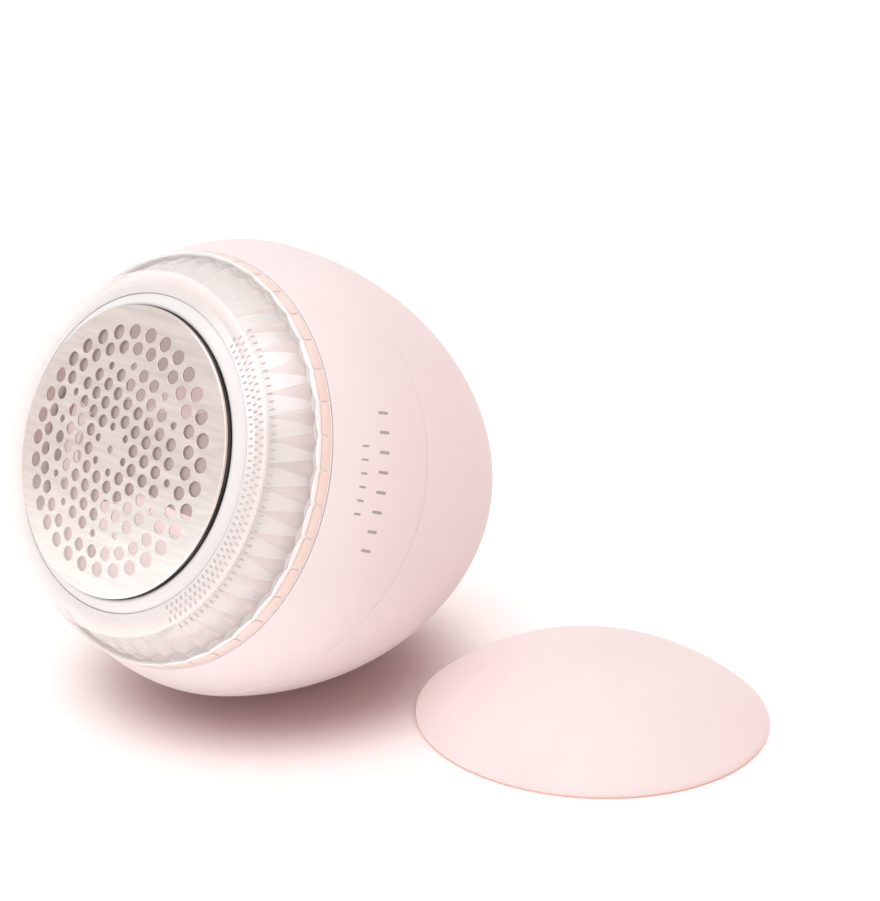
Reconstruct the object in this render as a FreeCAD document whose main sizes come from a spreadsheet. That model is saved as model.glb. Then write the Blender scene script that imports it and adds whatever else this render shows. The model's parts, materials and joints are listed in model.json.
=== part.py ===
"""Egg-shaped rechargeable fabric shaver, lying on its round belly, with its cap beside it.

Every piece of the shaver is drawn in the shaver's own frame and then placed as a whole:
Z runs along the shaver's axis towards the cutting head, with Z = 0 at the edge of the foil,
X points at the plain side of the body and Y is the side that is uppermost when it lies down.
The cap is drawn upright, with its rim on the floor.
"""
import FreeCAD, Part
import Sketcher
import math
import os
import re

DIMENSIONS = {
    # How it lies
    "tilt": 20.15,
    "roll": 9.0,
    "cap_right": 55.8,
    "cap_behind": 57.5,
    # Body
    "body_radius": 40.0,
    "belly_back": 26.35,
    "mouth_radius": 35.54,
    "mouth_back": 12.6,
    "pole_back": 81.03,
    "pole_radius": 33.5,
    "shell_wall": 2.2,
    "seam_back": 32.0,
    "seam_radius": 82.0,
    "seam_gap": 0.15,
    "part_gap": 0.3,
    "ledge_front": 17.0,
    "ledge_back": 19.0,
    "ledge_radius": 29.5,
    "lap_front": 20.0,
    "lap_back": 35.0,
    "boss_radius": 3.2,
    "boss_front": 18.0,
    "boss_back": 24.0,
    "boss_end": 60.0,
    "past_pole": 82.0,
    # Cutting head
    "foil_radius": 24.37,
    "foil_rise": 2.0,
    "foil_thick": 0.25,
    "foil_wall": 1.2,
    "foil_skirt": 7.0,
    "ring_radius": 26.7,
    "ring_back": 9.0,
    "outer_hole": 1.25,
    "second_hole": 1.12,
    "field_hole": 1.05,
    "fine_hole": 0.65,
    "outer_circle": 19.8,
    "second_circle": 17.1,
    "hole_pitch": 3.09,
    # Clear collar
    "rim_back": 2.3,
    "rim_radius": 30.6,
    "collar_wall": 1.6,
    "collar_bulge": 17.8,
    "notch_front": 3.9,
    "notch_back": 5.6,
    # Deck and its scalloped bezel
    "deck_front": 15.0,
    "deck_thick": 1.6,
    "deck_radius": 34.2,
    "cup_radius": 12.2,
    "bezel_inner": 30.6,
    "bezel_outer": 32.9,
    "bezel_front": 10.4,
    # Motor, cell and board
    "shaft_radius": 1.15,
    "motor_radius": 10.2,
    "motor_front": 22.6,
    "motor_rear": 47.1,
    "cell_radius": 9.15,
    "cell_length": 35.0,
    "cell_back": 60.0,
    "board_front": 70.0,
    "board_thick": 1.6,
    "board_radius": 17.0,
    # Button, lens and charging socket
    "button_radius": 7.3,
    "lens_up": 13.0,
    "lens_radius": 1.45,
    "socket_down": 14.5,
    "socket_width": 9.0,
    "socket_height": 3.2,
    # Interlock
    "pin_tail": 24.0,
    "pin_flange": 17.6,
    # Cap
    "cap_radius": 31.0,
    "cap_height": 12.6,
    "cap_edge": 1.0,
    "cap_wall": 1.3,
}

document = FreeCAD.newDocument("fabric_shaver")
sheet = document.addObject("Spreadsheet::Sheet", "Dims")
for row, (alias, value) in enumerate(DIMENSIONS.items(), start=1):
    sheet.set(f"A{row}", alias)
    sheet.set(f"B{row}", str(value))
    sheet.setAlias(f"B{row}", alias)
document.recompute()

# Expressions that several pieces share
FRONT_ARC = ("(((body_radius - mouth_radius)^2 + (belly_back - mouth_back)^2)"
             " / (2 * (body_radius - mouth_radius)))")
POLE_REACH = "(pole_back - belly_back - pole_radius)"
REAR_ARC = (f"((body_radius^2 + {POLE_REACH}^2 - pole_radius^2)"
            " / (2 * (body_radius - pole_radius)))")
DOME_RADIUS = "((foil_radius^2 + foil_rise^2) / (2 * foil_rise))"
CAP_DOME = ("((cap_radius^2 + (cap_height - cap_edge)^2)"
            " / (2 * (cap_height - cap_edge)))")

nodes = {}


def bound(expression):
    """The expression with each alias written as a cell of the sheet."""
    return re.sub(r"[a-z]\w*", lambda word: f"Dims.{word.group()}"
                  if word.group() in DIMENSIONS else word.group(), str(expression))


def size(expression):
    return float(sheet.evalExpression(bound(expression)))


def front_skin(back, inset="0"):
    """Radius of the body's front half at a distance behind the foil edge, inset from the skin."""
    return (f"(body_radius - {FRONT_ARC}"
            f" + sqrt(({FRONT_ARC} - {inset})^2 - (belly_back - ({back}))^2))")


def rear_skin(back, inset="0"):
    """The same for the long arc behind the belly."""
    return (f"(body_radius - {REAR_ARC}"
            f" + sqrt(({REAR_ARC} - {inset})^2 - (({back}) - belly_back)^2))")


def pole_skin(radius, inset="0"):
    """How far behind the foil edge the rounded pole lies at a radius, inset from the skin."""
    return f"(pole_back - pole_radius + sqrt((pole_radius - {inset})^2 - ({radius})^2))"


def arc_join(inset, part):
    """Where the long rear arc meets the pole's arc: radius or distance back."""
    if part == "radius":
        return (f"((pole_radius - {inset}) * ({REAR_ARC} - body_radius)"
                f" / ({REAR_ARC} - pole_radius))")
    return (f"(pole_back - pole_radius + (pole_radius - {inset}) * {POLE_REACH}"
            f" / ({REAR_ARC} - pole_radius))")


def shaver_place():
    """Where the shaver lies: belly on the floor, head tilted up, cap to the right and behind."""
    tilt = math.radians(size("tilt"))
    belly = f"({REAR_ARC} - body_radius)"
    height = (size(REAR_ARC) - size(belly) * math.cos(tilt)
              + size("belly_back") * math.sin(tilt))
    front = -(size("rim_radius") - 0.3) * math.sin(tilt) + size("rim_back") * math.cos(tilt)
    front = min(front, -size("foil_radius") * math.sin(tilt))
    across = (-size("body_radius") + size("cap_right + cap_radius")) / 2
    along = (front + size("cap_behind + cap_radius")) / 2
    turn = FreeCAD.Rotation(FreeCAD.Vector(1, 0, 0), 90 - size("tilt"))
    spin = FreeCAD.Rotation(FreeCAD.Vector(0, 0, 1), size("roll"))
    return FreeCAD.Placement(FreeCAD.Vector(-across, -along, height), turn.multiply(spin))


SHAVER = shaver_place()
FOIL_EDGE = SHAVER.Base
CAP = FreeCAD.Placement(
    FreeCAD.Vector(FOIL_EDGE.x + size("cap_right"), FOIL_EDGE.y + size("cap_behind"), 0),
    FreeCAD.Rotation())


def local(x=0.0, y=0.0, z=0.0, axis=(0, 0, 1), angle=0.0):
    """A place in the shaver's own frame."""
    turn = FreeCAD.Rotation(FreeCAD.Vector(*axis), angle)
    return SHAVER.multiply(FreeCAD.Placement(FreeCAD.Vector(x, y, z), turn))


def keep(name, piece):
    """Name a finished piece: its label is its file's name."""
    piece.Label = name
    nodes[name] = piece
    return piece


def new_body(name, place):
    body = document.addObject("PartDesign::Body", f"{name}_body")
    body.Placement = place
    return body


def new_sketch(body, name, role):
    sketch = body.newObject("Sketcher::SketchObject", name)
    plane = [part for part in body.Origin.OriginFeatures if part.Role == role][0]
    sketch.AttachmentSupport = [(plane, "")]
    sketch.MapMode = "FlatFace"
    return sketch


def bind(sketch, kind, references, expression):
    """Add one dimension to a sketch and tie it to the sheet."""
    index = sketch.addConstraint(Sketcher.Constraint(kind, *references, size(expression)))
    sketch.setExpression(f"Constraints[{index}]", bound(expression))


def pin_point(sketch, geometry, point, across, up):
    """Fix a sketch point at two expressions, on an axis where the expression is zero."""
    for kind, axis, expression in (("DistanceX", -2, across), ("DistanceY", -1, up)):
        if str(expression) in ("0", "0.0"):
            sketch.addConstraint(Sketcher.Constraint("PointOnObject", geometry, point, axis))
        else:
            bind(sketch, kind, (-1, 1, geometry, point), expression)


def draw_outline(sketch, corners):
    """Draw a closed outline. A corner is (across, up) or (across, up, radius): with a radius,
    the edge that leaves it is an arc, which bulges left of the way round when it is positive."""
    points = [FreeCAD.Vector(size(corner[0]), size(corner[1]), 0) for corner in corners]
    ends = []
    for index, corner in enumerate(corners):
        start, end = points[index], points[(index + 1) % len(points)]
        if len(corner) == 2:
            edge = sketch.addGeometry(Part.LineSegment(start, end))
            ends.append((edge, 1, 2))
            continue
        radius = size(corner[2].lstrip("-"))
        side = -1 if corner[2].startswith("-") else 1
        chord = end.sub(start)
        left = FreeCAD.Vector(-chord.y, chord.x, 0).normalize()
        rise = radius - math.sqrt(radius ** 2 - (chord.Length / 2) ** 2)
        middle = start.add(end).multiply(0.5).add(left.multiply(side * rise))
        edge = sketch.addGeometry(Part.Arc(start, middle, end))
        first = 1 if sketch.getPoint(edge, 1).distanceToPoint(start) < 1e-6 else 2
        ends.append((edge, first, 3 - first))
        bind(sketch, "Radius", (edge,), corner[2].lstrip("-"))
    for index, (edge, _, last) in enumerate(ends):
        following = ends[(index + 1) % len(ends)]
        sketch.addConstraint(
            Sketcher.Constraint("Coincident", edge, last, following[0], following[1]))
    for (edge, first, _), corner in zip(ends, corners):
        pin_point(sketch, edge, first, corner[0], corner[1])


def turned(name, corners, place=None):
    """A body of revolution about its own Z, from its outline in the XZ plane."""
    body = new_body(name, place or local())
    sketch = new_sketch(body, f"{name}_outline", "XZ_Plane")
    draw_outline(sketch, corners)
    turn = body.newObject("PartDesign::Revolution", f"{name}_turn")
    turn.Profile = sketch
    turn.ReferenceAxis = (sketch, ["V_Axis"])
    turn.Angle = 360
    return body


def washer(inner, outer, front, back):
    """Outline of a plain ring or disc between two distances behind the foil edge."""
    return [(inner, f"-({back})"), (outer, f"-({back})"),
            (outer, f"-({front})"), (inner, f"-({front})")]


def drawn(body, name, role, back, draw):
    """A sketch on an origin plane, moved back along the plane's normal."""
    sketch = new_sketch(body, name, role)
    sketch.AttachmentOffset = FreeCAD.Placement(
        FreeCAD.Vector(0, 0, -size(back)), FreeCAD.Rotation())
    if back != "0":
        sketch.setExpression("AttachmentOffset.Base.z", bound(f"-({back})"))
    draw(sketch)
    return sketch


def pad(body, name, back, length, draw):
    """Material added towards the head, from a sketch square to the axis."""
    feature = body.newObject("PartDesign::Pad", name)
    feature.Profile = drawn(body, f"{name}_sketch", "XY_Plane", back, draw)
    feature.Length = size(length)
    feature.setExpression("Length", bound(length))
    body.Tip = feature
    return feature


def pocket(body, name, back, length, draw):
    """Material removed towards the head, from a sketch square to the axis."""
    feature = body.newObject("PartDesign::Pocket", name)
    feature.Profile = drawn(body, f"{name}_sketch", "XY_Plane", back, draw)
    feature.Length = size(length)
    feature.setExpression("Length", bound(length))
    feature.Reversed = True
    body.Tip = feature
    return feature


def round_pattern(body, name, feature, count):
    """Repeat a feature round the body's axis."""
    pattern = body.newObject("PartDesign::PolarPattern", name)
    pattern.Originals = [feature]
    pattern.Axis = (feature.Profile[0], ["N_Axis"])
    pattern.Angle = 360
    pattern.Occurrences = count
    body.Tip = pattern
    return pattern


def draw_circles(circles):
    """A sketch of circles, each (across, up, radius)."""
    def draw(sketch):
        for across, up, radius in circles:
            centre = FreeCAD.Vector(size(across), size(up), 0)
            circle = sketch.addGeometry(
                Part.Circle(centre, FreeCAD.Vector(0, 0, 1), size(radius)))
            pin_point(sketch, circle, 3, across, up)
            bind(sketch, "Radius", (circle,), radius)
    return draw


def draw_box(across, up, width, height):
    """A sketch of one rectangle about its centre."""
    left, right = f"({across}) - ({width}) / 2", f"({across}) + ({width}) / 2"
    low, high = f"({up}) - ({height}) / 2", f"({up}) + ({height}) / 2"
    return lambda sketch: draw_outline(
        sketch, [(left, low), (right, low), (right, high), (left, high)])


def draw_sector(inner, outer, half_angle):
    """A sketch of a ring sector about the X axis, for lugs and notches."""
    cosine, sine = math.cos(math.radians(half_angle)), math.sin(math.radians(half_angle))
    return lambda sketch: draw_outline(sketch, [
        (f"{inner} * {cosine}", f"-({inner}) * {sine}"),
        (f"{outer} * {cosine}", f"-({outer}) * {sine}", f"-({outer})"),
        (f"{outer} * {cosine}", f"{outer} * {sine}"),
        (f"{inner} * {cosine}", f"{inner} * {sine}", f"{inner}")])


def group(name, pieces):
    """Several separate solids in one node."""
    compound = document.addObject("Part::Compound", f"{name}_group")
    compound.Links = pieces
    return keep(name, compound)


def block(name, width, depth, length, x, y, back):
    """A box centred on x and y, which reaches back from a distance behind the foil edge."""
    box = document.addObject("Part::Box", f"{name}_box")
    for side, expression in (("Length", width), ("Width", depth), ("Height", length)):
        box.setExpression(side, bound(expression))
    box.Placement = local(x - size(width) / 2, y - size(depth) / 2, -size(back) - size(length))
    return box


def coil(name, radius, wire, length, turns, x, y, back):
    """A compression spring that reaches back from a distance behind the foil edge."""
    helix = document.addObject("Part::Helix", f"{name}_path")
    helix.setExpression("Radius", bound(radius))
    helix.setExpression("Height", bound(f"{length} - 2 * ({wire})"))
    helix.setExpression("Pitch", bound(f"({length} - 2 * ({wire})) / {turns}"))
    start = -size(back) - size(length) + size(wire)
    helix.Placement = local(x, y, start)
    section = document.addObject("Part::Circle", f"{name}_wire")
    section.setExpression("Radius", bound(wire))
    section.Placement = local(x, y, start).multiply(FreeCAD.Placement(
        FreeCAD.Vector(size(radius), 0, 0), FreeCAD.Rotation(FreeCAD.Vector(1, 0, 0), 90)))
    sweep = document.addObject("Part::Sweep", f"{name}_sweep")
    sweep.Sections = [section]
    sweep.Spine = (helix, ["Edge1"])
    sweep.Solid = True
    sweep.Frenet = True
    return keep(name, sweep)


def screw(name, head_radius, head, thread_radius, length, place):
    """A pan-head screw whose head seats at its own Z = 0 and whose thread points at -Z."""
    return turned(name, [
        ("0", f"-({length})"), (thread_radius, f"-({length})"), (thread_radius, "0"),
        (head_radius, "0"), (head_radius, f"{head} / 2"), (f"{head_radius} * 0.7", head),
        ("0", head)], place)


def around(radius, angle):
    """A point at a radius and an angle in degrees."""
    return radius * math.cos(math.radians(angle)), radius * math.sin(math.radians(angle))


# ---------------------------------------------------------------- cutting head

FOIL_SECTORS = 6
OUTER_HOLES = 32
LATTICE_TURN = 30.0


def lattice_sector():
    """Holes in one sixth of the foil: a triangular lattice with finer holes near two rings."""
    medium, fine = [], []
    for along in range(1, 5):
        for beside in range(0, 5):
            norm = along ** 2 + along * beside + beside ** 2
            x = along + beside / 2
            y = beside * math.sqrt(3) / 2
            turn = math.radians(LATTICE_TURN)
            across = x * math.cos(turn) - y * math.sin(turn)
            up = x * math.sin(turn) + y * math.cos(turn)
            if norm in (3, 4, 7, 9, 12, 13, 16, 19):
                medium.append((f"{across} * hole_pitch", f"{up} * hole_pitch", "field_hole"))
            elif norm == 21:
                fine.append((f"{across} * hole_pitch", f"{up} * hole_pitch", "fine_hole"))
    across, up = around(1.22, LATTICE_TURN)
    fine.append((f"{across} * hole_pitch", f"{up} * hole_pitch", "fine_hole"))
    return medium + fine


def make_foil():
    inner_edge = (f"foil_rise - {DOME_RADIUS} + sqrt(({DOME_RADIUS} - foil_thick)^2"
                  " - (foil_radius - foil_thick)^2)")
    body = turned("cutter_foil", [
        ("0", "foil_rise", DOME_RADIUS),
        ("foil_radius", "0"),
        ("foil_radius", "-foil_skirt"),
        ("foil_radius - foil_thick", "-foil_skirt"),
        ("foil_radius - foil_thick", inner_edge, f"-({DOME_RADIUS} - foil_thick)"),
        ("0", "foil_rise - foil_thick")])
    depth, reach = "1", "4"
    pocket(body, "centre_hole", depth, reach, draw_circles([("0", "0", "fine_hole")]))
    for name, circle, hole, turn in (
            ("outer_holes", "outer_circle", "outer_hole", 0.0),
            ("second_holes", "second_circle", "second_hole", 0.5)):
        step = 360 / OUTER_HOLES
        across, up = around(1, LATTICE_TURN + step * turn)
        first = pocket(body, name, depth, reach,
                       draw_circles([(f"{across} * {circle}", f"{up} * {circle}", hole)]))
        round_pattern(body, f"{name}_round", first, OUTER_HOLES)
    sector = pocket(body, "field_holes", depth, reach, draw_circles(lattice_sector()))
    round_pattern(body, "field_holes_round", sector, FOIL_SECTORS)
    keep("cutter_foil", body)


LUGS = 3
LUG_REACH = "(ring_radius + 1.6)"
LUG_HALF_ANGLE = 11.0
NOTCH_HALF_ANGLE = 13.0
LUG_TURN = 60.0


def make_foil_ring():
    inner = "foil_radius + 0.03"
    body = turned("foil_ring", [
        (inner, "-ring_back"), ("ring_radius", "-ring_back"),
        ("ring_radius", "-rim_back - 0.1"), ("ring_radius - 0.5", "-rim_back + 0.5"),
        ("foil_radius + 0.6", "-foil_wall + 0.1"), (inner, "-foil_wall - 0.1")])
    lug = pad(body, "lug", "7.4", "1.5",
              draw_sector("(ring_radius - 0.5)", LUG_REACH, LUG_HALF_ANGLE))
    round_pattern(body, "lugs", lug, LUGS)
    keep("foil_ring", body)
    keep("foil_clip_ring", turned("foil_clip_ring", washer(
        "foil_radius - foil_thick - 0.75", "foil_radius - foil_thick - 0.02", "6.1", "6.8")))


def make_collar():
    bulge, inner_bulge = "collar_bulge", "collar_bulge - collar_wall"
    body = turned("lint_collar", [
        ("ring_radius + part_gap", "-rim_back"),
        ("rim_radius - 0.4", "-rim_back"),
        ("rim_radius", "-rim_back - 0.4", bulge),
        ("mouth_radius", "-mouth_back"),
        ("mouth_radius - collar_wall", "-mouth_back", f"-{inner_bulge}"),
        ("rim_radius - 1.1", "-rim_back - collar_wall"),
        ("ring_radius + 1.8", "-rim_back - collar_wall"),
        ("ring_radius + 1.8", "-5.5"),
        ("ring_radius + part_gap", "-5.5")])
    notch = pocket(body, "notch", "notch_back", "notch_back - notch_front",
                   draw_sector("(ring_radius - 0.5)", f"({LUG_REACH} + 0.18)", NOTCH_HALF_ANGLE))
    notch.Profile[0].AttachmentOffset = FreeCAD.Placement(
        FreeCAD.Vector(0, 0, -size("notch_back")),
        FreeCAD.Rotation(FreeCAD.Vector(0, 0, 1), LUG_TURN))
    round_pattern(body, "notches", notch, LUGS)
    keep("lint_collar", body)


# ---------------------------------------------------------------- body shells

BOSS_ANGLES = (30.0, 150.0, 270.0)
BOSS_CIRCLE = 28.0


def boss_circles(radius):
    return [(f"{around(BOSS_CIRCLE, angle)[0]}", f"{around(BOSS_CIRCLE, angle)[1]}", radius)
            for angle in BOSS_ANGLES]


def cut_seam(body, name, draw):
    """Cut right across the body along the X axis, with a sketch in the YZ plane."""
    feature = body.newObject("PartDesign::Pocket", name)
    feature.Profile = drawn(body, f"{name}_sketch", "YZ_Plane", "0", draw)
    feature.Length = size("2.4 * body_radius")
    feature.setExpression("Length", bound("2.4 * body_radius"))
    feature.Midplane = True
    body.Tip = feature


def make_front_shell():
    inner = f"{FRONT_ARC} - shell_wall"
    long_inner = f"{REAR_ARC} - shell_wall"
    mouth = "mouth_back + part_gap"
    body = turned("front_shell", [
        (front_skin(mouth), f"-({mouth})", FRONT_ARC),
        ("body_radius", "-belly_back", REAR_ARC),
        (rear_skin("lap_back"), "-lap_back"),
        (rear_skin("lap_back", "shell_wall"), "-lap_back", f"-{long_inner}"),
        ("body_radius - shell_wall", "-belly_back", f"-{inner}"),
        (front_skin("ledge_back", "shell_wall"), "-ledge_back"),
        ("ledge_radius", "-ledge_back"),
        ("ledge_radius", "-ledge_front"),
        (front_skin("ledge_front", "shell_wall"), "-ledge_front", f"-{inner}"),
        (front_skin(mouth, "shell_wall"), f"-({mouth})")])
    pad(body, "bosses", "boss_back", "boss_back - boss_front",
        draw_circles(boss_circles("boss_radius")))
    pocket(body, "screw_holes", "boss_back + 1", "boss_back + 1 - mouth_back",
           draw_circles(boss_circles("1.4")))
    centre, far, side = "seam_radius - seam_back", "seam_radius + 10", "seam_radius + 8"

    def outside_seam(sketch):
        draw_circles([("0", centre, "seam_radius")])(sketch)
        low, high = f"{centre} - ({far})", f"{centre} + {far}"
        draw_outline(sketch, [
            (f"-({side})", low), (side, low), (side, high), (f"-({side})", high)])
    cut_seam(body, "seam", outside_seam)
    keep("front_shell", body)


def make_rear_shell():
    front, front_inner = FRONT_ARC, f"{FRONT_ARC} - shell_wall"
    long_inner, pole_inner = f"{REAR_ARC} - shell_wall", "pole_radius - shell_wall"
    join_radius, join_back = arc_join("0", "radius"), arc_join("0", "back")
    inner_radius = arc_join("shell_wall", "radius")
    inner_back = arc_join("shell_wall", "back")
    body = turned("rear_shell", [
        (front_skin("lap_front"), "-lap_front", front),
        ("body_radius", "-belly_back", REAR_ARC),
        (join_radius, f"-{join_back}", "pole_radius"),
        ("0", "-pole_back"),
        ("0", "-pole_back + shell_wall", f"-{pole_inner}"),
        (inner_radius, f"-{inner_back}", f"-{long_inner}"),
        ("body_radius - shell_wall", "-belly_back", f"-{front_inner}"),
        (front_skin("lap_front", "shell_wall"), "-lap_front")])
    cut_seam(body, "seam_rear", draw_circles(
        [("0", "seam_radius - seam_back", "seam_radius + seam_gap")]))
    pad(body, "columns", "boss_end", "boss_end - boss_back",
        draw_circles(boss_circles("boss_radius")))
    pocket(body, "thread_holes", "boss_back + 16", "17", draw_circles(boss_circles("1.0")))
    pad(body, "button_guide", "78.6", "4", draw_circles(
        [("0", "0", "button_radius + 2.9"), ("0", "0", "button_radius + 1.5")]))
    pad(body, "board_posts", "76.5", "76.5 - board_front - board_thick",
        draw_circles(post_circles("2.1")))
    pocket(body, "post_holes", "75", "5", draw_circles(post_circles("0.8")))
    pocket(body, "button_hole", "past_pole", "6",
           draw_circles([("0", "0", "button_radius + 0.25")]))
    pocket(body, "socket_slot", "past_pole", "8",
           draw_box("0", "-socket_down", "socket_width + 0.5", "socket_height + 0.5"))
    pocket(body, "lens_hole", "past_pole", "8",
           draw_circles([("0", "lens_up", "lens_radius + 0.05")]))
    keep("rear_shell", body)


BEZEL_SCALLOPS = 40
INTERLOCK_X = 25.6
MOTOR_SCREW_X = 7.4


def make_deck():
    body = turned("front_bezel", [
        ("bezel_inner", "-deck_front"), ("bezel_outer", "-deck_front"),
        ("bezel_outer", "-mouth_back"), ("bezel_outer - 0.6", "-bezel_front - 0.4"),
        ("bezel_inner + 0.6", "-bezel_front"), ("bezel_inner", "-bezel_front")])
    step = math.radians(360 / BEZEL_SCALLOPS)
    circle = "(bezel_outer - 0.7)"
    scallop = pocket(body, "scallop", "bezel_front + 1.1", "2", draw_circles(
        [(f"{circle} * {math.cos(step / 2)}", f"{circle} * {math.sin(step / 2)}", "1.75")]))
    round_pattern(body, "scallops", scallop, BEZEL_SCALLOPS)
    keep("front_bezel", body)

    snout, floor = "-deck_front + 2", "-motor_front + 1.6"
    deck = turned("chamber_deck", [
        ("shaft_radius + 0.5", "-motor_front + 1.1"), ("shaft_radius + 0.5", snout),
        ("4.4", snout), ("5.2", floor), ("cup_radius - 1", floor),
        ("cup_radius + 0.8", "-deck_front"), ("deck_radius", "-deck_front"),
        ("deck_radius", "-deck_front - deck_thick"),
        ("cup_radius + 2.2", "-deck_front - deck_thick"),
        ("cup_radius", "-motor_front"), ("cup_radius", "-motor_front - 4"),
        ("motor_radius + 0.15", "-motor_front - 4"), ("motor_radius + 0.15", "-motor_front"),
        ("4.95", "-motor_front"), ("4.95", "-motor_front + 1.1")])
    holes = [(str(INTERLOCK_X), "0", "1.5")]
    holes += [(f"{x}", f"{y}", "1.35") for x, y in
              (around(BOSS_CIRCLE, angle) for angle in BOSS_ANGLES)]
    holes += [(f"{side} * {MOTOR_SCREW_X}", "0", "1.1") for side in (-1, 1)]
    pocket(deck, "deck_holes", "motor_front + 0.4", "9", draw_circles(holes))
    keep("chamber_deck", deck)

    inner, outer = "bezel_outer + 0.1", "bezel_outer + 0.9"
    keep("collar_seal", turned("collar_seal", [
        (inner, "-deck_front + 0.1"), (outer, "-deck_front + 0.1"), (outer, "-deck_front + 0.7"),
        ("bezel_outer + 0.5", "-deck_front + 1.1"), (inner, "-deck_front + 0.7")]))
    keep("shaft_seal", turned("shaft_seal", washer(
        "shaft_radius + 0.02", "4.9", "motor_front - 1.05", "motor_front - 0.05")))


# ---------------------------------------------------------------- drive

BLADES = 3
TERMINAL_X = 4.0
TERMINAL_Y = 7.0


def make_drive():
    gap = "(foil_thick + part_gap)"
    reach = "(foil_radius - 1.6)"
    under = (f"foil_rise - {DOME_RADIUS} + sqrt(({DOME_RADIUS} - {gap})^2 - {reach}^2)")
    body = turned("cutter_blades", [
        ("1.5", f"foil_rise - {gap}", f"{DOME_RADIUS} - {gap}"),
        (reach, under),
        (reach, f"{under} - 0.35", f"-({DOME_RADIUS} - {gap} - 0.35)"),
        ("1.5", f"foil_rise - {gap} - 0.35")])
    window = pocket(body, "window", "3", "6", draw_blade_window)
    round_pattern(body, "windows", window, BLADES)
    keep("cutter_blades", body)
    keep("cutter_hub", turned("cutter_hub", [
        ("4.3", "-10.6"), ("7.5", "-10.6"), ("7", "-2"), ("5.6", f"foil_rise - {gap} - 0.5"),
        ("0", f"foil_rise - {gap} - 0.5"), ("0", "-2"), ("4.3", "-2")]))
    coil("blade_spring", "2.5", "0.36", "4.6", 3, 0, 0, "2.1")
    keep("drive_coupling", turned("drive_coupling", [
        ("shaft_radius", "-11.6"), ("4", "-11.6"), ("4", "-6.8"), ("0", "-6.8"), ("0", "-8"),
        ("shaft_radius", "-8")]))
    keep("motor_shaft", turned("motor_shaft", washer("0", "shaft_radius", "8.05", "motor_rear + 2.4")))


def draw_blade_window(sketch):
    """The opening between two blades, with a slightly swept edge."""
    reach = "foil_radius + 1"
    corners = []
    for radius, angle in (("8.6", 17.0), (reach, 19.0), (reach, 96.0), ("8.6", 82.0)):
        across, up = around(1, angle)
        corners.append([f"({radius}) * {across}", f"({radius}) * {up}"])
    corners[0].append("40")
    corners[1].append(f"-({reach})")
    corners[2].append("40")
    corners[3].append("8.6")
    draw_outline(sketch, [tuple(corner) for corner in corners])


def make_motor():
    inner = "(motor_radius - 0.8)"
    can = turned("motor_can", [
        ("2.4", "-motor_front"), ("motor_radius - 0.6", "-motor_front"),
        ("motor_radius", "-motor_front - 0.6"), ("motor_radius", "-motor_rear"),
        (inner, "-motor_rear"), (inner, "-motor_front - 0.9"), ("2.4", "-motor_front - 0.9")])
    pocket(can, "can_holes", "motor_front + 2", "3", draw_circles(
        [(str(side * MOTOR_SCREW_X), "0", "1") for side in (-1, 1)]))
    keep("motor_can", can)
    keep("motor_bush", turned("motor_bush", washer(
        "shaft_radius + 0.04", "2.38", "motor_front", "motor_front + 3")))
    magnets = []
    for side in (0, 1):
        magnet = turned(f"magnet_{side}", washer(
            "7.7", f"{inner} - 0.02", "motor_front + 4", "motor_rear - 5"),
            local(angle=180 * side))
        magnet.Group[-1].Angle = 150
        magnets.append(magnet)
    group("motor_magnets", magnets)
    keep("motor_armature", turned("motor_armature", [
        ("shaft_radius", "-motor_front - 4.2"), ("3.6", "-motor_front - 4.2"),
        ("7.3", "-motor_front - 5.2"), ("7.3", "-motor_rear + 6.2"),
        ("3.6", "-motor_rear + 5.2"), ("shaft_radius", "-motor_rear + 5.2")]))
    keep("motor_commutator", turned("motor_commutator", washer(
        "shaft_radius", "2.6", "motor_rear - 4.8", "motor_rear - 0.5")))
    keep("motor_end_bell", turned("motor_end_bell", [
        ("shaft_radius + 0.05", "-motor_rear"), ("motor_radius - 0.3", "-motor_rear"),
        ("motor_radius - 0.3", "-motor_rear - 2"), ("4", "-motor_rear - 2.6"),
        ("shaft_radius + 0.05", "-motor_rear - 2.6")]))
    group("motor_terminals", [
        block(f"terminal_{side}", "2.4", "0.5", "3", TERMINAL_X * side, TERMINAL_Y,
              "motor_rear + 2.3")
        for side in (-1, 1)])
    group("motor_screws", [
        screw(f"motor_screw_{side}", "1.9", "1", "0.98", "2.6",
              local(MOTOR_SCREW_X * side, 0, 1.65 - size("motor_front")))
        for side in (-1, 1)])


# ---------------------------------------------------------------- power and controls

def make_power():
    """The cell lies across the body, behind the motor, in a saddle that is hollowed to fit it."""
    half = "cell_length / 2"
    across = local(z=-size("cell_back"), axis=(0, 1, 0), angle=90)
    keep("battery_cell", turned("battery_cell", [
        ("0", f"-({half})"), ("cell_radius - 0.8", f"-({half})"),
        ("cell_radius", f"-({half}) + 0.8"), ("cell_radius", f"{half} - 1.6"),
        ("cell_radius - 0.8", f"{half} - 0.8"), ("3", f"{half} - 0.8"),
        ("3", half), ("0", half)], across))
    group("battery_tabs", [
        block(f"tab_{side}", "0.2", "5", "9", side * (size(half) + 0.12), 0, "cell_back - 3")
        for side in (-1, 1)])
    cradle = document.addObject("Part::Cut", "cradle_cut")
    cradle.Base = block("cradle", "27", "12", "8", 0, 0, "motor_rear + 2.7")
    hollow = document.addObject("Part::Cylinder", "cradle_hollow")
    hollow.setExpression("Radius", bound("cell_radius + 0.05"))
    hollow.setExpression("Height", bound("2 * cell_length"))
    hollow.Placement = across.multiply(FreeCAD.Placement(
        FreeCAD.Vector(0, 0, -size("cell_length")), FreeCAD.Rotation()))
    cradle.Tool = hollow
    keep("cell_cradle", cradle)


BOARD_POSTS = [(10.5, 8.5), (-10.5, 8.5)]


def post_circles(radius):
    return [(str(x), str(y), radius) for x, y in BOARD_POSTS]


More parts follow.
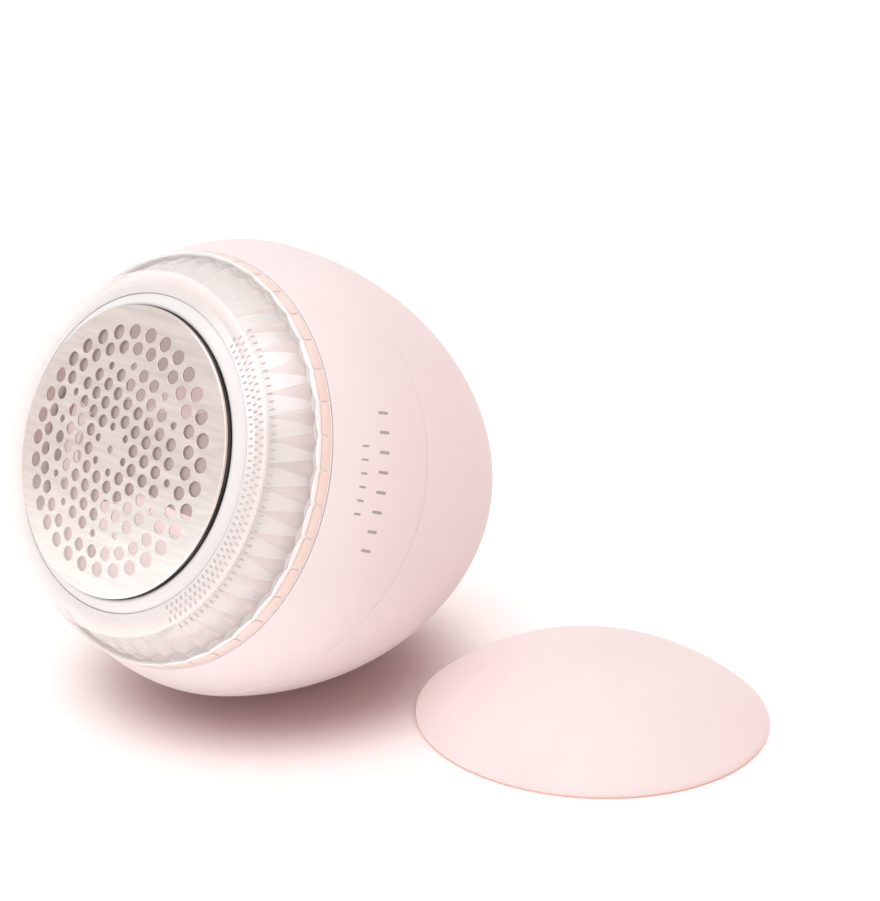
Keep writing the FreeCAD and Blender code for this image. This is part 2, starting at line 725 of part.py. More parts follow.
def make_controls():
    back = "(board_front + board_thick)"
    board = turned("main_board", washer("0", "board_radius", "board_front", back))
    pocket(board, "board_holes", f"{back} + 1", "4", draw_circles(post_circles("1.1")))
    keep("main_board", board)
    group("board_screws", [
        screw(f"board_screw_{index}", "1.9", "1.1", "0.75", "4.5",
              local(x, y, -size("board_front")))
        for index, (x, y) in enumerate(BOARD_POSTS)])
    switch = new_body("tact_switch", local())
    pad(switch, "switch_case", f"{back} + 3", "3", draw_box("0", "0", "6", "6"))
    pad(switch, "switch_tip", f"{back} + 3.6", "0.8", draw_circles([("0", "0", "1.7")]))
    keep("tact_switch", switch)

    socket = new_body("charge_socket", local())
    pad(socket, "socket_case", f"{back} + 5.9", "5.9",
        draw_box("0", "-socket_down", "socket_width", "socket_height"))
    pocket(socket, "socket_mouth", f"{back} + 6.5", "5.6",
           draw_box("0", "-socket_down", "socket_width - 0.7", "socket_height - 0.7"))
    pad(socket, "socket_tongue", f"{back} + 5.4", "5",
        draw_box("0", "-socket_down", "socket_width - 2.4", "0.7"))
    keep("charge_socket", socket)

    lens_place = local(0, size("lens_up"), 0)
    keep("status_led", turned(
        "status_led", washer("0", "lens_radius - 0.05", back, f"{back} + 2"), lens_place))
    keep("status_lens", turned("status_lens", washer(
        "0", "lens_radius", f"{back} + 2.2", pole_skin("lens_up + 1.2")), lens_place))

    flange = "(pole_back - 4.65)"
    keep("power_button", turned("power_button", [
        ("0", f"-({back} + 5)"), ("2", f"-({back} + 5)"), ("2", f"-({flange})"),
        ("button_radius + 1.2", f"-({flange})"),
        ("button_radius + 1.2", f"-({flange}) - 1"), ("button_radius", f"-({flange}) - 1"),
        ("button_radius", f"-{pole_skin('button_radius')}", "pole_radius"),
        ("0", "-pole_back")]))
    coil("button_spring", "5.4", "0.3", f"{flange} - {back} - 0.1", 4, 0, 0, f"{back} + 0.05")


def make_interlock():
    stem, under = "1.2", "-pin_flange - 1"
    keep("interlock_pin", turned("interlock_pin", [
        ("0", "-pin_tail"), (stem, "-pin_tail"), (stem, under), (f"2 * {stem}", under),
        (f"2 * {stem}", "-pin_flange"), (stem, "-pin_flange"), (stem, "-ring_back - 0.8"),
        ("0.8", "-ring_back - part_gap"), ("0", "-ring_back - part_gap")],
        local(INTERLOCK_X, 0, 0)))
    coil("interlock_spring", "1.9", "0.22", "6.2", 5, INTERLOCK_X, 0, "pin_flange + 1.1")
    keep("interlock_switch", block("interlock_switch", "6", "8", "5", INTERLOCK_X, 0, "25.6"))


def make_fasteners():
    group("shell_screws", [
        screw(f"shell_screw_{index}", "2.3", "1.4", "0.95", "20",
              local(*around(BOSS_CIRCLE, angle), 0.05 - size("deck_front")))
        for index, angle in enumerate(BOSS_ANGLES)])


WIRE_RADIUS = 0.6


def wire(points, radius):
    """A wire along straight runs joined by tangent arcs, each as large as its runs allow."""
    share = 0.45
    edges, cursor = [], points[0]
    for before, corner, after in zip(points, points[1:], points[2:]):
        back, ahead = before.sub(corner), after.sub(corner)
        run = share * min(back.Length, ahead.Length)
        back.normalize()
        ahead.normalize()
        turn = back.getAngle(ahead)
        start, end = corner.add(back * run), corner.add(ahead * run)
        arc_radius = run * math.tan(turn / 2)
        middle_way = back.add(ahead).normalize()
        middle = corner.add(middle_way * (arc_radius / math.sin(turn / 2) - arc_radius))
        edges.append(Part.makeLine(cursor, start))
        edges.append(Part.Arc(start, middle, end).toShape())
        cursor = end
    edges.append(Part.makeLine(cursor, points[-1]))
    path = Part.Wire(edges)
    section = Part.Wire(Part.makeCircle(radius, points[0], points[1].sub(points[0])))
    tube = path.makePipeShell([section], True, False)
    length = sum(edge.Length for edge in edges)
    assert abs(tube.Volume / (math.pi * radius ** 2 * length) - 1) < 0.05
    return tube


def make_wires():
    """Two leads from the motor over the cell, and one from each end of the cell, to the board."""
    board = -size("board_front") + 0.45
    terminal = -size("motor_rear") - 5.6
    end = size("cell_length") / 2 + 0.9
    tubes = []
    for side in (-1, 1):
        x = TERMINAL_X * side
        tubes.append(wire([
            FreeCAD.Vector(x, TERMINAL_Y, terminal), FreeCAD.Vector(x, 9.6, -54.5),
            FreeCAD.Vector(x, 11.4, -59.4), FreeCAD.Vector(x, 10.4, -64.5),
            FreeCAD.Vector(x, 8, board)], WIRE_RADIUS))
        tubes.append(wire([
            FreeCAD.Vector(end * side, 0, -60), FreeCAD.Vector((end + 0.2) * side, -7, -66),
            FreeCAD.Vector((end - 4.9) * side, -10.5, board)], WIRE_RADIUS))
    wires = document.addObject("Part::Feature", "wires_group")
    wires.Shape = Part.Compound(tubes)
    wires.Placement = SHAVER
    keep("wires", wires)


# ---------------------------------------------------------------- cap


def make_cap():
    edge_inner = "cap_radius - 0.95"
    dome_inner = f"{CAP_DOME} - cap_wall"
    inner_start = (f"cap_height - {CAP_DOME} + sqrt(({dome_inner})^2 - ({edge_inner})^2)")
    keep("cap_shell", turned("cap_shell", [
        ("0", "cap_height", CAP_DOME),
        ("cap_radius", "cap_edge"),
        ("cap_radius", "0"),
        (edge_inner, "0"),
        (edge_inner, inner_start, f"-{dome_inner}"),
        ("0", "cap_height - cap_wall")], CAP))
    keep("cap_lip", turned("cap_lip", [
        ("cap_radius - 3.3", "0.3"), ("cap_radius - 2.3", "0.3"), ("cap_radius - 2.3", "1.1"),
        ("cap_radius - 3.3", "1.7")], CAP))


def check_and_export():
    """Stop on a failed object or a bad shape, then write one file for each node."""
    document.recompute()
    failed = [item.Name for item in document.Objects
              if "Invalid" in item.State or "Error" in item.State]
    for name, piece in nodes.items():
        if piece.Shape.isNull() or not piece.Shape.isValid() or not piece.Shape.Solids:
            failed.append(name)
    if failed:
        raise RuntimeError(f"failed: {failed}")
    os.makedirs("parts", exist_ok=True)
    for name, piece in nodes.items():
        piece.Shape.exportStep(os.path.join("parts", f"{name}.step"))
    print(f"{len(nodes)} nodes, {sum(len(piece.Shape.Solids) for piece in nodes.values())} solids")


make_foil()
make_foil_ring()
make_collar()
make_front_shell()
make_rear_shell()
make_deck()
make_drive()
make_motor()
make_power()
make_controls()
make_interlock()
make_fasteners()
make_wires()
make_cap()
check_and_export()
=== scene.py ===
"""Looks for the fabric shaver: shells, clear collar, foil, cap and the materials of every piece.

Sizes are in millimetres in the shaver's own frame: Z runs along the axis towards the head, with
Z = 0 at the foil's edge, and Y is the side that is uppermost as it lies. MM turns them to metres.
"""
import bpy
import bmesh
import json
import math
from mathutils import Matrix, Vector
from mathutils.geometry import delaunay_2d_cdt


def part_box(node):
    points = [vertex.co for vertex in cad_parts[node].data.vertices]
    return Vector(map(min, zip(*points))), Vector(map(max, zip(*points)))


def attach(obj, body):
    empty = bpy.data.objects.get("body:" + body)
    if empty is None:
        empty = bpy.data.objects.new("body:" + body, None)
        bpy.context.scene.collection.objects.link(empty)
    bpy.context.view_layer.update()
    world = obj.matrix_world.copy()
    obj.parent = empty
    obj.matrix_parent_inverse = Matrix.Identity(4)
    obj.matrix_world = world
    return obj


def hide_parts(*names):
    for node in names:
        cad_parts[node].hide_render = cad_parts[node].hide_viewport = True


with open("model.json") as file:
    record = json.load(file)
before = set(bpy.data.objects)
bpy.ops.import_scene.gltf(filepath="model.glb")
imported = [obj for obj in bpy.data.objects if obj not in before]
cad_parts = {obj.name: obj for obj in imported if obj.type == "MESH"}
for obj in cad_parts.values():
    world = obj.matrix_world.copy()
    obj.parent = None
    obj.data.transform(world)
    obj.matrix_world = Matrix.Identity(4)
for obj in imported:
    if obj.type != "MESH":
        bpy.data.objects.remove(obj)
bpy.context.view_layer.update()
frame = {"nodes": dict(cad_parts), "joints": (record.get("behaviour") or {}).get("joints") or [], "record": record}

MM = 0.001
TAU = 2 * math.pi
SHARP = math.radians(35)        # faces that turn by more than this meet in a sharp edge

# ---------------------------------------------------------------- the shaver's own frame

JOINTS = {joint["name"]: joint for joint in frame["joints"]}
MOUNTS = {mount["name"]: mount for mount in frame["record"]["mounts"]}
AXIS = Vector(JOINTS["head_twist"]["axis"]).normalized()
FOIL_EDGE = Vector(JOINTS["head_twist"]["pos_m"])


def shaver_matrix():
    """Millimetres in the shaver's own frame to metres in the row frame."""
    port = Vector(MOUNTS["charge_port"]["pos_m"]) - FOIL_EDGE
    up = -(port - AXIS * port.dot(AXIS)).normalized()
    side = up.cross(AXIS)
    turn = Matrix((side, up, AXIS)).transposed().to_4x4()
    return Matrix.Translation(FOIL_EDGE) @ turn @ Matrix.Scale(MM, 4)


SHAVER = shaver_matrix()
CAP_LOW, CAP_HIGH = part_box("cap_shell")
CAP = (Matrix.Translation(((CAP_LOW.x + CAP_HIGH.x) / 2, (CAP_LOW.y + CAP_HIGH.y) / 2, 0))
       @ Matrix.Scale(MM, 4))

# Driving sizes, as in the CAD model
BODY_R, BELLY, MOUTH_R, MOUTH = 40.0, 26.35, 35.54, 12.6
POLE, POLE_R = 81.03, 33.5
WALL = 2.2
SEAM_BACK, SEAM_R, SEAM_GAP = 32.0, 82.0, 0.07
FOIL_R, FOIL_RISE, FOIL_THICK, FOIL_WALL, FOIL_SKIRT = 24.37, 2.0, 0.25, 1.2, 7.0
RING_R, RING_BACK, RIM_BACK, RIM_R = 26.7, 9.0, 2.3, 30.6
COLLAR_WALL, COLLAR_BULGE = 1.6, 17.8
BUTTON_R = 7.3
CAP_R, CAP_HEIGHT, CAP_EDGE, CAP_WALL = 31.0, 12.6, 1.0, 1.3
HOLE_PITCH, LATTICE_TURN = 3.09, math.radians(30)
OUTER_CIRCLE, OUTER_HOLE, SECOND_CIRCLE, SECOND_HOLE = 19.8, 1.25, 17.1, 1.12
RING_HOLES, FIELD_HOLE, FINE_HOLE = 32, 1.05, 0.65
LUGS, LUG_R = 3, 28.3
SOCKET_DOWN, LENS_UP = 14.5, 13

FRONT_ARC = ((BODY_R - MOUTH_R) ** 2 + (BELLY - MOUTH) ** 2) / (2 * (BODY_R - MOUTH_R))
POLE_REACH = POLE - BELLY - POLE_R
REAR_ARC = (BODY_R ** 2 + POLE_REACH ** 2 - POLE_R ** 2) / (2 * (BODY_R - POLE_R))
DOME_R = (FOIL_R ** 2 + FOIL_RISE ** 2) / (2 * FOIL_RISE)
CAP_DOME = (CAP_R ** 2 + (CAP_HEIGHT - CAP_EDGE) ** 2) / (2 * (CAP_HEIGHT - CAP_EDGE))

# ---------------------------------------------------------------- materials

COLOUR_DETAIL, GRAIN_DETAIL = 3.0, 4.0
PLASTIC_GRAIN, PLASTIC_DEPTH = 2600.0, 0.00006      # scale of the grain and its depth in metres
METAL_DEPTH = 0.00003
CLEAR_GRAIN, CLEAR_DEPTH = 700.0, 0.00004
CLEAR_IOR = 1.5
MOST_COVER = 0.72                          # how far clear plastic hides what is behind at a glance
SCATTER_REACH = (0.004, 0.0022, 0.0018)    # of red, green and blue light, in metres


def new_material(name):
    material = bpy.data.materials.new(name)
    material.use_nodes = True
    tree = material.node_tree
    return material, tree, tree.nodes["Principled BSDF"]


def add(tree, kind, **values):
    """A node with its properties and inputs set by name. To_Min sets the input To Min."""
    node = tree.nodes.new(kind)
    for key, value in values.items():
        if hasattr(node, key):
            setattr(node, key, value)
        else:
            node.inputs[key.replace("_", " ")].default_value = value
    return node


def object_noise(tree, scale, detail, stretch):
    """Noise in the object's coordinates, stretched along the axes."""
    coordinates = tree.nodes.new("ShaderNodeTexCoord")
    mapping = add(tree, "ShaderNodeMapping", Scale=stretch)
    noise = add(tree, "ShaderNodeTexNoise", Scale=scale, Detail=detail)
    tree.links.new(coordinates.outputs["Object"], mapping.inputs[0])
    tree.links.new(mapping.outputs[0], noise.inputs["Vector"])
    return noise


def colour_ramp(tree, value, low_at, low, high_at, high):
    """Colour that turns from low to high as a value goes from low_at to high_at."""
    ramp = tree.nodes.new("ShaderNodeValToRGB")
    elements = ramp.color_ramp.elements
    elements[0].position = low_at
    elements[0].color = (*low, 1)
    elements[1].position = high_at
    elements[1].color = (*high, 1)
    tree.links.new(value, ramp.inputs[0])
    return ramp


def colour_noise(tree, shader, low, high, scale, stretch=(1, 1, 1)):
    """Base colour that drifts between two colours."""
    noise = object_noise(tree, scale, COLOUR_DETAIL, stretch)
    ramp = colour_ramp(tree, noise.outputs[0], 0.3, low, 0.7, high)
    tree.links.new(ramp.outputs[0], shader.inputs["Base Color"])
    return ramp


def grain(tree, shader, scale, strength, depth, stretch=(1, 1, 1)):
    """Fine bump from noise, stretched along an axis for brushed or drawn metal."""
    noise = object_noise(tree, scale, GRAIN_DETAIL, stretch)
    bump = add(tree, "ShaderNodeBump", Strength=strength, Distance=depth)
    tree.links.new(noise.outputs[0], bump.inputs["Height"])
    tree.links.new(bump.outputs[0], shader.inputs["Normal"])
    return noise


def roughness_noise(tree, shader, noise, low, high):
    """Roughness that follows the grain between two values."""
    spread = add(tree, "ShaderNodeMapRange", To_Min=low, To_Max=high)
    tree.links.new(noise.outputs[0], spread.inputs[0])
    tree.links.new(spread.outputs[0], shader.inputs["Roughness"])


def glow(shader, colour, strength):
    """Painted light: a little glow given back, standing in for light that scatters inside or travels through a
    part.
    """
    shader.inputs["Emission Color"].default_value = (*colour, 1)
    shader.inputs["Emission Strength"].default_value = strength


def plastic(name, low, high, rough=(0.42, 0.5), scale=60.0, bump=0.05, subsurface=0.0):
    """Moulded plastic: slight drift of colour and gloss, and a fine eroded grain."""
    material, tree, shader = new_material(name)
    colour_noise(tree, shader, low, high, scale)
    noise = grain(tree, shader, PLASTIC_GRAIN, bump, PLASTIC_DEPTH)
    roughness_noise(tree, shader, noise, *rough)
    shader.inputs["Subsurface Weight"].default_value = subsurface
    shader.inputs["Subsurface Radius"].default_value = SCATTER_REACH
    shader.inputs["Subsurface Scale"].default_value = 1.0
    return material


def metal(name, low, high, rough=(0.25, 0.35), stretch=(1, 1, 1), scale=900.0, bump=0.04,
          drift=(90.0, (1, 1, 1))):
    """Metal with a drawn or brushed grain along its stretched axis."""
    material, tree, shader = new_material(name)
    colour_noise(tree, shader, low, high, drift[0], stretch=drift[1])
    noise = grain(tree, shader, scale, bump, METAL_DEPTH, stretch)
    roughness_noise(tree, shader, noise, *rough)
    shader.inputs["Metallic"].default_value = 1.0
    return material


def clear(name, tint, body, rough=0.05, painted_glow=0.0):
    """Clear plastic: it shows what lies behind, turns glossy at a glance, has a little body, and carries a painted
    glow in place of light that it passes on.
    """
    material, tree, shader = new_material(name)
    glow(shader, tint, painted_glow)
    colour_noise(tree, shader, tint, tuple(min(1.0, part + 0.02) for part in tint), 40.0)
    noise = grain(tree, shader, CLEAR_GRAIN, 0.03, CLEAR_DEPTH)
    roughness_noise(tree, shader, noise, rough, rough + 0.04)
    glance = add(tree, "ShaderNodeFresnel", IOR=CLEAR_IOR)
    cover = add(tree, "ShaderNodeMapRange", To_Min=body, To_Max=MOST_COVER)
    tree.links.new(glance.outputs[0], cover.inputs[0])
    tree.links.new(cover.outputs[0], shader.inputs["Alpha"])
    return material


PINK = plastic("soft_pink", (0.65, 0.58, 0.58), (0.675, 0.605, 0.605), (0.46, 0.54), 45.0,
               subsurface=0.08)
CAP_PINK = plastic("cap_pink", (0.635, 0.55, 0.545), (0.665, 0.58, 0.575), (0.42, 0.5), 45.0,
                   subsurface=0.08)
# Painted shade: a warm dark band for the cap's lip, which stands in shade where it meets the floor.
CAP_EDGE_SHADE = plastic("cap_edge_painted_shade", (0.58, 0.32, 0.25), (0.64, 0.38, 0.30))
SALMON = plastic("salmon_gloss", (0.685, 0.545, 0.495), (0.73, 0.60, 0.55), (0.25, 0.32))
WHITE = plastic("ring_white", (0.615, 0.60, 0.595), (0.645, 0.63, 0.625), (0.28, 0.34))
DECK = plastic("deck_pale", (0.86, 0.75, 0.74), (0.90, 0.80, 0.79), (0.4, 0.5))
GREY = plastic("moulded_grey", (0.36, 0.35, 0.35), (0.42, 0.41, 0.41))
PRINT = plastic("printed_grey", (0.26, 0.25, 0.26), (0.32, 0.31, 0.32), (0.5, 0.6))
BUTTON = plastic("button_pink", (0.86, 0.72, 0.70), (0.89, 0.76, 0.74), (0.34, 0.42))
FOIL = metal("foil_satin", (0.54, 0.455, 0.43), (0.66, 0.56, 0.53), (0.28, 0.42),
             (1, 24, 24), 45.0, 0.07, drift=(45.0, (1, 24, 24)))
# Painted dark reflection: the foil's outer wall, a bright metal, is near black in colour for the dark it mirrors.
FOIL_WALL_PAINTED_DARK = metal("foil_wall_painted_dark", (0.05, 0.045, 0.045), (0.12, 0.11, 0.11),
                        (0.12, 0.18))
BLADE = metal("blade_ground", (0.28, 0.21, 0.205), (0.34, 0.26, 0.255), (0.45, 0.6),
              (30, 1, 30), 200.0, 0.1)
STEEL = metal("drawn_steel", (0.50, 0.50, 0.51), (0.60, 0.60, 0.61))
ZINC = metal("zinc_plate", (0.55, 0.56, 0.58), (0.66, 0.67, 0.69), (0.3, 0.45))
NICKEL = metal("bright_nickel", (0.66, 0.64, 0.60), (0.74, 0.72, 0.68), (0.15, 0.22))
BRONZE = metal("sintered_bronze", (0.50, 0.33, 0.17), (0.58, 0.40, 0.22), (0.3, 0.45))
COPPER = metal("wound_copper", (0.45, 0.17, 0.08), (0.60, 0.26, 0.13), (0.25, 0.4),
               (1, 1, 60), 160.0, 0.5)
FERRITE = plastic("ferrite_dark", (0.03, 0.03, 0.032), (0.055, 0.055, 0.06), (0.5, 0.65))
RUBBER = plastic("seal_silicone", (0.66, 0.62, 0.61), (0.72, 0.68, 0.67), (0.55, 0.7))
FELT = plastic("pressed_felt", (0.48, 0.45, 0.42), (0.62, 0.58, 0.55), (0.85, 0.95), 900.0, 0.8)
CELL = plastic("cell_wrap", (0.07, 0.20, 0.34), (0.10, 0.25, 0.40), (0.2, 0.28))
SOLDER_MASK = plastic("solder_mask", (0.012, 0.10, 0.045), (0.02, 0.15, 0.07), (0.3, 0.4), 700.0)
JACKET = plastic("wire_jacket", (0.42, 0.02, 0.02), (0.50, 0.04, 0.04), (0.4, 0.5))
# Each clear copy below carries a painted glow, light that no lamp gives.
CLEAR = clear("collar_clear", (0.96, 0.945, 0.94), 0.06, painted_glow=0.02)
# The frosted copy stands in for lit facets and the tinted copy for shaded ones: painted light and shade.
FROSTED_LIT = clear("collar_frosted", (0.755, 0.735, 0.725), 0.84, 0.30, painted_glow=0.07)
ANNULUS = clear("collar_annulus", (0.67, 0.63, 0.62), 0.84, 0.30, painted_glow=0.03)
TINTED_SHADE = clear("collar_facet", (0.76, 0.69, 0.675), 0.66, 0.12, painted_glow=0.09)
# Painted light: a strong glow on the foot of the facets, lifting the shade where the wall meets the body.
FOOT_GLOW = clear("collar_foot_painted_glow", (0.84, 0.81, 0.80), 0.80, 0.20, painted_glow=0.36)
# Painted shade: the ticks are grey where the real clear ticks show only by shade and refraction.
KNURL_PAINTED_SHADE = plastic("knurl_shade", (0.40, 0.36, 0.355), (0.50, 0.455, 0.45), (0.3, 0.4))
LENS = clear("lens_frosted", (0.90, 0.93, 0.90), 0.45, 0.30)


def painted_glow_ramp(material, colour, reach, start, end, faint, strong):
    """Painted light: a glow that stands in for light a part passes on, from faint to strong as a
    measured reach, in metres, goes from start to end. The reach is a vector node that is fed the
    place on the surface."""
    tree = material.node_tree
    shader = tree.nodes["Principled BSDF"]
    glow(shader, colour, faint)
    place = tree.nodes.new("ShaderNodeNewGeometry")
    spread = add(tree, "ShaderNodeMapRange", interpolation_type="SMOOTHSTEP",
                 From_Min=start, From_Max=end, To_Min=faint, To_Max=strong)
    tree.links.new(place.outputs["Position"], reach.inputs[0])
    tree.links.new(reach.outputs["Value"], spread.inputs[0])
    tree.links.new(spread.outputs[0], shader.inputs["Emission Strength"])


def lit_towards(material, colour, towards, start, faint, strong):
    """Painted glow, stronger towards one side of the foil, from a distance past its middle to its edge."""
    towards = Vector(towards).normalized()
    along = add(material.node_tree, "ShaderNodeVectorMath", operation="DOT_PRODUCT")
    along.inputs[1].default_value = towards
    middle = FOIL_EDGE.dot(towards)
    painted_glow_ramp(material, colour, along, middle + start * MM, middle + FOIL_R * MM, faint, strong)


def lit_near(material, colour, place, near, far, faint, strong):
    """Painted glow, strong within near of a place, and faint from far on. The place is in metres."""
    gap = add(material.node_tree, "ShaderNodeVectorMath", operation="DISTANCE")
    gap.inputs[1].default_value = place
    painted_glow_ramp(material, colour, gap, near * MM, far * MM, strong, faint)


# Painted light, given as glow in the materials and not by any lamp: light that the parts pass on
# through the collar from its low left side, off the table into the lower half of the foil, in the
# collar's wall on its bright side, and off the body onto the near side of the cap.
THROUGH_COLLAR = (-0.5, 0.0, -0.85)
OFF_TABLE = (0.15, -0.33, -0.89)
BRIGHT_WALL = SHAVER @ Vector((28.5, 14.5, -3.5))
CAP_NEAR_SIDE = CAP @ Vector((-25, -14, 0))
lit_towards(DECK, (0.62, 0.53, 0.52), THROUGH_COLLAR, -2, 0.24, 0.66)
lit_towards(BLADE, (0.62, 0.53, 0.52), THROUGH_COLLAR, -2, 0.30, 0.74)
lit_towards(FOIL, (0.74, 1.0, 1.0), OFF_TABLE, -2, 0.05, 0.36)
lit_near(FROSTED_LIT, (0.80, 0.79, 0.79), BRIGHT_WALL, 3, 10.5, 0.07, 0.30)
lit_near(ANNULUS, (0.80, 0.79, 0.79), BRIGHT_WALL, 4, 22, 0.03, 0.34)
lit_near(TINTED_SHADE, (0.80, 0.75, 0.74), BRIGHT_WALL, 2, 10.5, 0.09, 0.30)
lit_near(CAP_PINK, (1.0, 0.72, 0.69), CAP_NEAR_SIDE, 2, 38, 0.01, 0.27)

NODE_MATERIALS = {
    "foil_clip_ring": STEEL, "front_bezel": SALMON, "chamber_deck": DECK, "collar_seal": RUBBER,
    "shaft_seal": FELT, "cutter_hub": DECK, "blade_spring": STEEL, "drive_coupling": GREY,
    "motor_shaft": STEEL, "motor_can": ZINC, "motor_bush": BRONZE, "motor_magnets": FERRITE,
    "motor_armature": COPPER, "motor_commutator": BRONZE, "motor_end_bell": GREY,
    "motor_terminals": BRONZE, "motor_screws": ZINC, "battery_cell": CELL,
    "battery_tabs": NICKEL, "cell_cradle": GREY, "main_board": SOLDER_MASK,
    "board_screws": ZINC, "tact_switch": GREY, "charge_socket": NICKEL, "status_led": LENS,
    "status_lens": LENS, "button_spring": STEEL, "interlock_pin": WHITE,
    "interlock_spring": STEEL, "interlock_switch": GREY, "shell_screws": ZINC, "wires": JACKET,
    "cutter_blades": BLADE, "cap_lip": SALMON,
}
for node, material in NODE_MATERIALS.items():
    item = frame["nodes"][node]
    item.data.materials.clear()
    item.data.materials.append(material)

# ---------------------------------------------------------------- mesh helpers


def polar(radius, angle, height):
    return (radius * math.cos(angle), radius * math.sin(angle), height)


def arc(centre, radius, start, end, steps):
    """Points on an arc, angles in degrees."""
    points = []
    for step in range(steps + 1):
        angle = math.radians(start + (end - start) * step / steps)
        points.append((centre[0] + radius * math.cos(angle),
                       centre[1] + radius * math.sin(angle)))
    return points


def from_grid(name, rows, matrix, materials, wrap=True, pick=None):
    """A closed surface from rows of points: each row goes round the axis, and the last row joins
    the first when wrap is set."""
    mesh = bpy.data.meshes.new(name)
    around = len(rows[0])
    vertices = [matrix @ Vector(point) for row in rows for point in row]
    faces = []
    for index in range(len(rows) if wrap else len(rows) - 1):
        low, high = index * around, (index + 1) % len(rows) * around
        for step in range(around):
            after = (step + 1) % around
            faces.append((low + step, low + after, high + after, high + step))
    mesh.from_pydata(vertices, [], faces)
    return finish_mesh(mesh, name, materials, pick)


def finish_mesh(mesh, name, materials, pick=None):
    """Give each face its material, merge points on the axis, face outwards and shade smooth."""
    for material in materials:
        mesh.materials.append(material)
    if pick:
        for polygon in mesh.polygons:
            polygon.material_index = pick(polygon)
    work = bmesh.new()
    work.from_mesh(mesh)
    bmesh.ops.remove_doubles(work, verts=work.verts, dist=1e-6)
    bmesh.ops.recalc_face_normals(work, faces=work.faces)
    work.to_mesh(mesh)
    work.free()
    mesh.polygons.foreach_set("use_smooth", [True] * len(mesh.polygons))
    mesh.set_sharp_from_angle(angle=SHARP)
    piece = bpy.data.objects.new(name, mesh)
    bpy.context.scene.collection.objects.link(piece)
    return piece


def from_bmesh(work, name, materials, pick=None):
    """A piece from a mesh that is drawn in the shaver's own frame."""
    mesh = bpy.data.meshes.new(name)
    work.to_mesh(mesh)
    work.free()
    mesh.transform(SHAVER)
    return finish_mesh(mesh, name, materials, pick)


def lathe(name, outline, steps, matrix, materials, wrap=True, pick=None):
    """A body of revolution from an outline of (radius, height)."""
    rows = [[polar(radius, TAU * step / steps, height) for step in range(steps)]
            for radius, height in outline]
    return from_grid(name, rows, matrix, materials, wrap, pick)


def rounded(outline, radius, steps):
    """The outline with its corners rounded where there is room for the radius."""
    result = []
    count = len(outline)
    for index, corner in enumerate(outline):
        before, after = Vector(outline[index - 1]), Vector(outline[(index + 1) % count])
        here = Vector(corner)
        into, out = (before - here), (after - here)
        if into.angle(out, math.pi) > math.radians(155):
            result.append(corner)
            continue
        reach = min(min(into.length, out.length) * 0.45, radius)
        start, end = here + into.normalized() * reach, here + out.normalized() * reach
        for step in range(steps + 1):
            t = step / steps
            point = start.lerp(here, t).lerp(here.lerp(end, t), t)
            result.append((point.x, point.y))
    return result


def join_rings(work, rings):
    """Faces between each ring of vertices and the next."""
    for lower, upper in zip(rings, rings[1:]):
        for index in range(len(lower)):
            after = (index + 1) % len(lower)
            work.faces.new((lower[index], lower[after], upper[after], upper[index]))


def cushion(work, place, half_length, half_width, corner, thick, edge=0.12):
    """A pad with rounded corners and a rounded edge. place(a, b, depth) gives its points."""
    outline = []
    for quarter in range(4):
        centre = ((half_length - corner) * (1, -1, -1, 1)[quarter],
                  (half_width - corner) * (1, 1, -1, -1)[quarter])
        for step in range(5):
            turn = math.radians(90 * quarter + 22.5 * step)
            outline.append((centre[0] + corner * math.cos(turn),
                            centre[1] + corner * math.sin(turn)))
    rings = []
    for shrink, depth in ((0.0, thick), (0.0, edge), (edge * 0.3, edge * 0.3), (edge, 0.0)):
        scale_a, scale_b = 1 - shrink / half_length, 1 - shrink / half_width
        rings.append([work.verts.new(place(a * scale_a, b * scale_b, depth))
                      for a, b in outline])
    join_rings(work, rings)
    work.faces.new(rings[-1])
    work.faces.new(list(reversed(rings[0])))


def carve(piece, cutter):
    """Cut one mesh from another for good."""
    modifier = piece.modifiers.new("cut", "BOOLEAN")
    modifier.object = cutter
    modifier.operation = "DIFFERENCE"
    modifier.solver = "EXACT"
    bpy.context.view_layer.update()
    result = bpy.data.meshes.new_from_object(
        piece.evaluated_get(bpy.context.evaluated_depsgraph_get()))
    piece.modifiers.clear()
    piece.data = result
    piece.data.set_sharp_from_angle(angle=SHARP)
    bpy.data.objects.remove(cutter)


# ---------------------------------------------------------------- body shells

MOUTH_GAP, BUTTON_GAP = 0.08, 0.25      # from the shells to the collar's foot and the button
SHELL_LIP = 0.22                        # radius of the shells' rounded edges
SHELL_COLUMNS, CUTTER_COLUMNS = 360, 48
SLOT_HALF_WIDTH, SLOT_HALF_HEIGHT, LENS_HOLE_R = 4.75, 1.85, 1.5
CUT_FROM, CUT_TO = -84, -70

MOUTH_ANGLE = math.asin((BELLY - MOUTH - MOUTH_GAP) / FRONT_ARC)
JOIN_ANGLE = math.acos((REAR_ARC - BODY_R) / (REAR_ARC - POLE_R))
FRONT_RUN = FRONT_ARC * MOUTH_ANGLE
REAR_RUN = REAR_ARC * JOIN_ANGLE
POLE_RUN = POLE_R * (math.pi / 2 - JOIN_ANGLE)
BUTTON_RUN = (FRONT_RUN + REAR_RUN + POLE_RUN
              - POLE_R * math.asin((BUTTON_R + BUTTON_GAP) / POLE_R))


